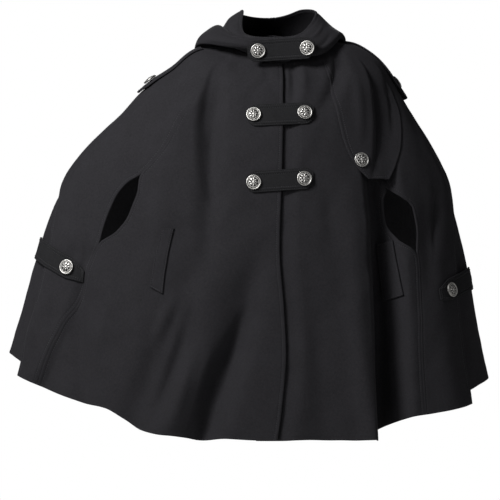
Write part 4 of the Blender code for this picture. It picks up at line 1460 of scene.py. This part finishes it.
def storm_flap():
    at = spaced(FLAP_DOWN, 56)[:, None] / FLAP_DOWN
    u = spaced(FLAP_ACROSS, 60)[None, :] / FLAP_ACROSS
    t0, phi0 = table_edge(FLAP_INNER, at)
    t1, phi1 = table_edge(FLAP_OUTER, at)
    t = t0 + (t1 - t0) * u
    phi = phi0 + (phi1 - phi0) * u
    n = facing(over, t, phi)
    loose = step((at - 0.06) / 0.30) * (1 - 0.75 * step((u - 0.5) / 0.4))
    lift = FLAP_SEWN_LIFT + (FLAP_LIFT - FLAP_SEWN_LIFT) * loose
    base = over(t, phi) + n * lift[..., None]
    from_inner = run_along(base, 1)
    from_outer = from_inner[:, -1:] - from_inner
    from_ends = np.minimum(at, 1 - at) * FLAP_DOWN * np.ones(u.shape)
    from_edge = np.minimum(np.minimum(from_inner, from_outer), from_ends)
    out = stitched_edge(from_edge, sink=0.3) * loose
    middle = base + n * out[..., None]
    thin = FLAP_THINNEST + (1 - FLAP_THINNEST) * loose
    obj, outer, normal = cloth_mesh("cloth_storm_flap", middle, from_edge, WOOL, thin)
    declare(obj, "storm_flap", (0.165, 0.31))
    k = STITCH_EDGE
    free_side = (outer[k:, k], normal[k:, k])
    lower_edge = (outer[-1 - k, k:-k], normal[-1 - k, k:-k])
    sew("stitches_storm_flap", [free_side, lower_edge])


storm_flap()

# %% [markdown]
# ## Pocket welts
#
# A welt is a narrow doubled strip that stiffens the mouth of a slanted pocket. It is sewn flat
# on the front, so only its edge and its shadow show.

# %% Pocket welts
# Pocket welts, seen: upper two corners and lower two corners.
WELT_RIGHT = ((-226, -358), (-202, -355), (-252, -476), (-226, -490))
WELT_LEFT = ((230, -381), (256, -377), (247, -500), (273, -492))
WELT_RIGHT_LIFT = 3.6 * MM
WELT_LEFT_LIFT = 4.0 * MM


def welt(name, corners, lift, flat):
    top_0, top_1, foot_0, foot_1 = (np.array(find(*p)) for p in corners)
    width, length = flat
    v = spaced(length, 24)[:, None] / length
    u = spaced(width, 4)[None, :] / width
    top = top_0 + (top_1 - top_0) * u[..., None]
    bottom = foot_0 + (foot_1 - foot_0) * u[..., None]
    cells = top * (1 - v[..., None]) + bottom * v[..., None]
    t = cells[..., 0]
    phi = cells[..., 1]
    from_edge = np.minimum(np.minimum(u, 1 - u) * width, np.minimum(v, 1 - v) * length)
    out = lift + stitched_edge(from_edge, 3.0 * MM, 0.2, 0.3, 0.4)
    middle = cape(t, phi) + facing(cape, t, phi) * out[..., None]
    obj, outer, normal = cloth_mesh("cloth_" + name, middle, from_edge)
    declare(obj, name, flat)
    sew("stitches_" + name, lines_round(outer, normal, STITCH_NARROW))


welt("pocket_welt_right", WELT_RIGHT, WELT_RIGHT_LIFT, (0.028, 0.135))
welt("pocket_welt_left", WELT_LEFT, WELT_LEFT_LIFT, (0.037, 0.130))

# %% [markdown]
# ## Epaulettes
#
# A strap on each shoulder runs from the hood's seam towards the arm and ends in a button. Both
# stand off the cloth towards their points, the left one more.

# %% Epaulettes
# Where each starts and ends down the shoulder, its line in degrees, how far its point stands off in
# millimetres, its length and its area in metres.
EPAULETTES = (
    # name, t0, t1, phi, stand_off, length, area
    ("right", 0.072, 0.260, -88, 2.5, 0.176, 0.0083),
    ("left", 0.068, 0.272, 97, 7.0, 0.206, 0.0099),
)
EPAULETTE_HALF = 24.0 * MM
STRAP_BLUNT = 0.16
# How far a strap's middle is off the cape: more than one thickness.
LIFT = 4.1 * MM


def epaulette(name, t0, t1, middle, stand_off, length, area):
    line = math.radians(middle)

    def surface(u, v):
        t = t0 + (t1 - t0) * u
        phi = line - v * EPAULETTE_HALF / speed(t, np.full(t.shape, line))
        lift = LIFT + stand_off * MM * step((u - 0.45) / 0.55)
        return cape(t, phi) + facing(cape, t, phi) * lift[..., None]

    flat = (length + 0.005, 0.05)
    strap(f"epaulette_{name}", surface, length, EPAULETTE_HALF, STRAP_BLUNT, False, flat, WOOL)


for row in EPAULETTES:
    epaulette(*row)

# %% [markdown]
# ## Side straps
#
# Below each arm a strap crosses the open side vent and holds the side panel to the back. It is
# sewn on at the back and buttoned at the front.

# %% Side straps
# The straps across the vents: the ring they follow, the sewn end and the point in degrees, the
# length and the area in metres.
SIDE_TABS = (
    # name, t, phi_sewn, phi_point, length, area
    ("right", 0.707, -94, -52.9, 0.205, 0.0091),
    ("left", 0.721, 91, 55, 0.171, 0.0075),
)
# The cloth from neckline to hem at the sides, in metres.
SIDE_LENGTH = 0.83


def side_strap(name, t_mid, sewn, point, length, area):
    turn = 1 if name == "right" else -1

    def surface(u, v):
        phi = np.radians(sewn + (point - sewn) * u)
        t = t_mid + turn * v * TAB_HALF / SIDE_LENGTH
        return cape(t, phi) + facing(cape, t, phi) * LIFT

    flat = (length + 0.003, 0.046)
    strap(f"side_tab_{name}", surface, length, TAB_HALF, STRAP_BLUNT, False, flat)


for row in SIDE_TABS:
    side_strap(*row)

# %% [markdown]
# ## Buttons
#
# Eleven domed buttons, 30 mm across, are cast with a roped rim, a ring of beads and a rosette of
# petals with a boss in the middle. Each is turned round its axis, with the relief added to its
# height. The darkness of the low places is worked out from the same relief. Where each one sits
# is read off the node that it replaces: its flat back gives the facing and the middle.

# %% One button's relief
# In millimetres: the radius, the flat ring round the dome, the dome's radius and its rise, and the
# radii where the rope, the beads and the petals start.
BUTTON_RADIUS = 15.0
BUTTON_TURNS = 128
RING_HEIGHT = 3.0
DOME_RADIUS = 11.6
DOME_RISE = 2.6
ROPE_FROM = 12.2
BEADS_FROM = 9.2
PETALS_FROM = 2.6
STRANDS = 28
BEADS = 24
PETALS = 8


def dome(r):
    """The height of the smooth dome at a radius."""
    if r >= DOME_RADIUS:
        return RING_HEIGHT
    return RING_HEIGHT + DOME_RISE * (1 - (r / DOME_RADIUS) ** 2) ** 0.5


def relief(r, a):
    """The height of the button's face, in millimetres, at a radius in millimetres."""
    if r > ROPE_FROM:
        across = (r - 13.5) / 1.35
        rope = 1.15 * math.sqrt(max(0.0, 1 - across * across))
        return 2.7 + rope * (0.86 + 0.14 * math.cos(STRANDS * a + 2.4 * across))
    if r > BEADS_FROM:
        bead = math.cos(BEADS * a)
        across = (r - 10.7) / 1.15
        return dome(r) - 0.35 + 0.75 * max(0.0, 1 - across * across - 0.55 * (1 - bead))
    if r > PETALS_FROM:
        petal = abs(math.cos(PETALS / 2 * a + 0.25 * math.sin(r)))
        u = (r - PETALS_FROM) / 6.6
        leaf = max(0.0, petal - 0.28 - 0.5 * (2 * u - 1) ** 2)
        vein = 0.16 * math.exp(-(((1 - petal) / 0.03) ** 2))
        return dome(r) - 0.55 + 1.15 * leaf - vein
    u = r / PETALS_FROM
    return dome(r) - 0.2 + 0.7 * math.sqrt(max(0.0, 1 - u * u)) - 0.12 * math.cos(6 * a) * u


print("height of the boss in mm:", round(relief(0.0, 0.0), 2))

# %% The button's mesh
# The rings of the face, then those of the turned rim with their heights, in millimetres.
FACE_RINGS = np.concatenate([np.linspace(0.25, 11.9, 46), np.linspace(12.2, 14.85, 14)])
RIM_RINGS = ((BUTTON_RADIUS, 2.2), (14.6, 1.0), (13.8, 0.0))


def button_mesh():
    """The button's mesh with its back at the origin, its face to +Z, and its darkness."""
    points = [(0.0, 0.0, relief(0.0, 0.0))]
    dark = [0.0]
    angles = [2 * math.pi * i / BUTTON_TURNS for i in range(BUTTON_TURNS)]
    for r in FACE_RINGS:
        level = dome(r) - (0.1 if r < DOME_RADIUS else 0.0)
        for a in angles:
            h = relief(r, a)
            points.append((r * math.cos(a), r * math.sin(a), h))
            dark.append(min(1.0, max(0.0, (level - h) * 1.5 + 0.1)))
    for r, h in RIM_RINGS:
        points.extend((r * math.cos(a), r * math.sin(a), h) for a in angles)
        dark.extend(0.4 for a in angles)
    points.append((0.0, 0.0, 0.0))
    dark.append(0.6)
    last_ring = 1 + (len(FACE_RINGS) + len(RIM_RINGS) - 1) * BUTTON_TURNS
    faces = []
    for i in range(BUTTON_TURNS):
        j = (i + 1) % BUTTON_TURNS
        faces.append((0, 1 + i, 1 + j))
        for a in range(1, last_ring, BUTTON_TURNS):
            b = a + BUTTON_TURNS
            faces.append((a + i, b + i, b + j, a + j))
        faces.append((last_ring + i, len(points) - 1, last_ring + j))
    return np.array(points) * MM, faces, dark


BUTTON_POINTS, BUTTON_FACES, BUTTON_DARK = button_mesh()
print("points in a button:", len(BUTTON_POINTS))

# %% Buttons in their places
BUTTONS = [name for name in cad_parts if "button" in name]
# A node's points within this share of its radius are on its dome or its back. Its back's points
# are within BACK_FLAT of the lowest one.
DOME_SHARE = 0.4
BACK_FLAT = 0.5 * MM


def button_place(node):
    """The middle of a button's back, its facing, and the way down across its face."""
    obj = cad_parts[node]
    points = np.array([v.co[:] for v in obj.data.vertices])
    middle = points.mean(axis=0)
    n = np.linalg.svd(points - middle, full_matrices=False)[2][2]
    high = (points - middle) @ n
    radius = np.linalg.norm((points - middle) - high[:, None] * n, axis=1)
    top = high[radius < DOME_SHARE * radius.max()]
    if abs(top.max()) < abs(top.min()):
        n = -n
        high = -high
    back = points[high < high.min() + BACK_FLAT]
    centre = (back.max(axis=0) + back.min(axis=0)) / 2
    down = np.array([0.0, 0.0, -1.0])
    down = down - n * down.dot(n)
    return centre, n, down / np.linalg.norm(down)


def place_button(node):
    centre, n, down = button_place(node)
    turn = np.stack([np.cross(down, n), down, n])
    obj = new_piece("metal_" + node, BUTTON_POINTS @ turn + centre, BUTTON_FACES, SILVER)
    layer = obj.data.attributes.new("tarnish", "FLOAT", "POINT")
    layer.data.foreach_set("value", BUTTON_DARK)
    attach(obj, "root")
    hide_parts(node)


for node in BUTTONS:
    place_button(node)
print("buttons:", len(BUTTONS))

# %% [markdown]
# ## Floor and light
#
# The garment is held up by its shoulders, so the plain pale floor is well below it. Four soft round
# lights are aimed at its middle. The main one is near, above and to the left of the camera, as the
# photographed shading shows. Two weak ones fill from the front, one at each side, and a broad one
# behind lights the back. The surroundings look white but add only a little light, so that the folds
# keep their shadows.

# %% Floor
FLOOR_HEIGHT = -1.43
FLOOR_RADIUS = 3.0
FLOOR_CORNERS = 96

floor_points = np.array([
    (FLOOR_RADIUS * math.cos(a), FLOOR_RADIUS * math.sin(a), FLOOR_HEIGHT)
    for a in np.linspace(0, 2 * math.pi, FLOOR_CORNERS, endpoint=False)
])
floor_paper, floor_tree, floor_shader = new_material("pale_paper_floor")
set_node(floor_tree, floor_shader, {"Base Color": linear("#E9E9E7"), "Roughness": 0.8})
floor = new_piece("floor", floor_points, [tuple(range(FLOOR_CORNERS))], floor_paper)
print("floor at", FLOOR_HEIGHT)

# %% Lights
LIGHT_TARGET = Vector((0.0, 0.0, -0.35))
LIGHTS = (
    # name, place, width of its disc, watts
    ("key_light", (-1.42, -1.34, 1.18), 0.8, 38),
    ("front_fill", (-1.9, -3.4, 0.4), 1.2, 9),
    ("side_fill", (3.3, -1.9, 0.7), 1.2, 6),
    ("back_light", (0.0, 3.4, 1.0), 1.6, 60),
)


def soft_light(name, place, size, watts):
    data = bpy.data.lights.new(name, "AREA")
    data.shape = "DISK"
    data.size = size
    data.energy = watts
    obj = bpy.data.objects.new(name, data)
    obj.location = place
    obj.rotation_euler = (LIGHT_TARGET - obj.location).to_track_quat("-Z", "Y").to_euler()
    bpy.context.scene.collection.objects.link(obj)


for row in LIGHTS:
    soft_light(*row)
bpy.context.scene.view_settings.view_transform = "Standard"

# %% White surroundings
GLOW = 0.04

world = bpy.data.worlds.new("studio")
bpy.context.scene.world = world
world.use_nodes = True
sky = world.node_tree
sky.nodes.clear()
to_camera = add_node(sky, "ShaderNodeLightPath")
glow = add_node(sky, "ShaderNodeBackground", {"Color": (1, 1, 1, 1), "Strength": GLOW})
paper = add_node(sky, "ShaderNodeBackground", {"Color": (1, 1, 1, 1), "Strength": 1.0})
mixed = add_node(
    sky,
    "ShaderNodeMixShader",
    None,
    {0: to_camera.outputs["Is Camera Ray"], 1: glow.outputs[0], 2: paper.outputs[0]},
)
add_node(sky, "ShaderNodeOutputWorld", None, {"Surface": mixed.outputs[0]})
print("light of the surroundings:", GLOW)
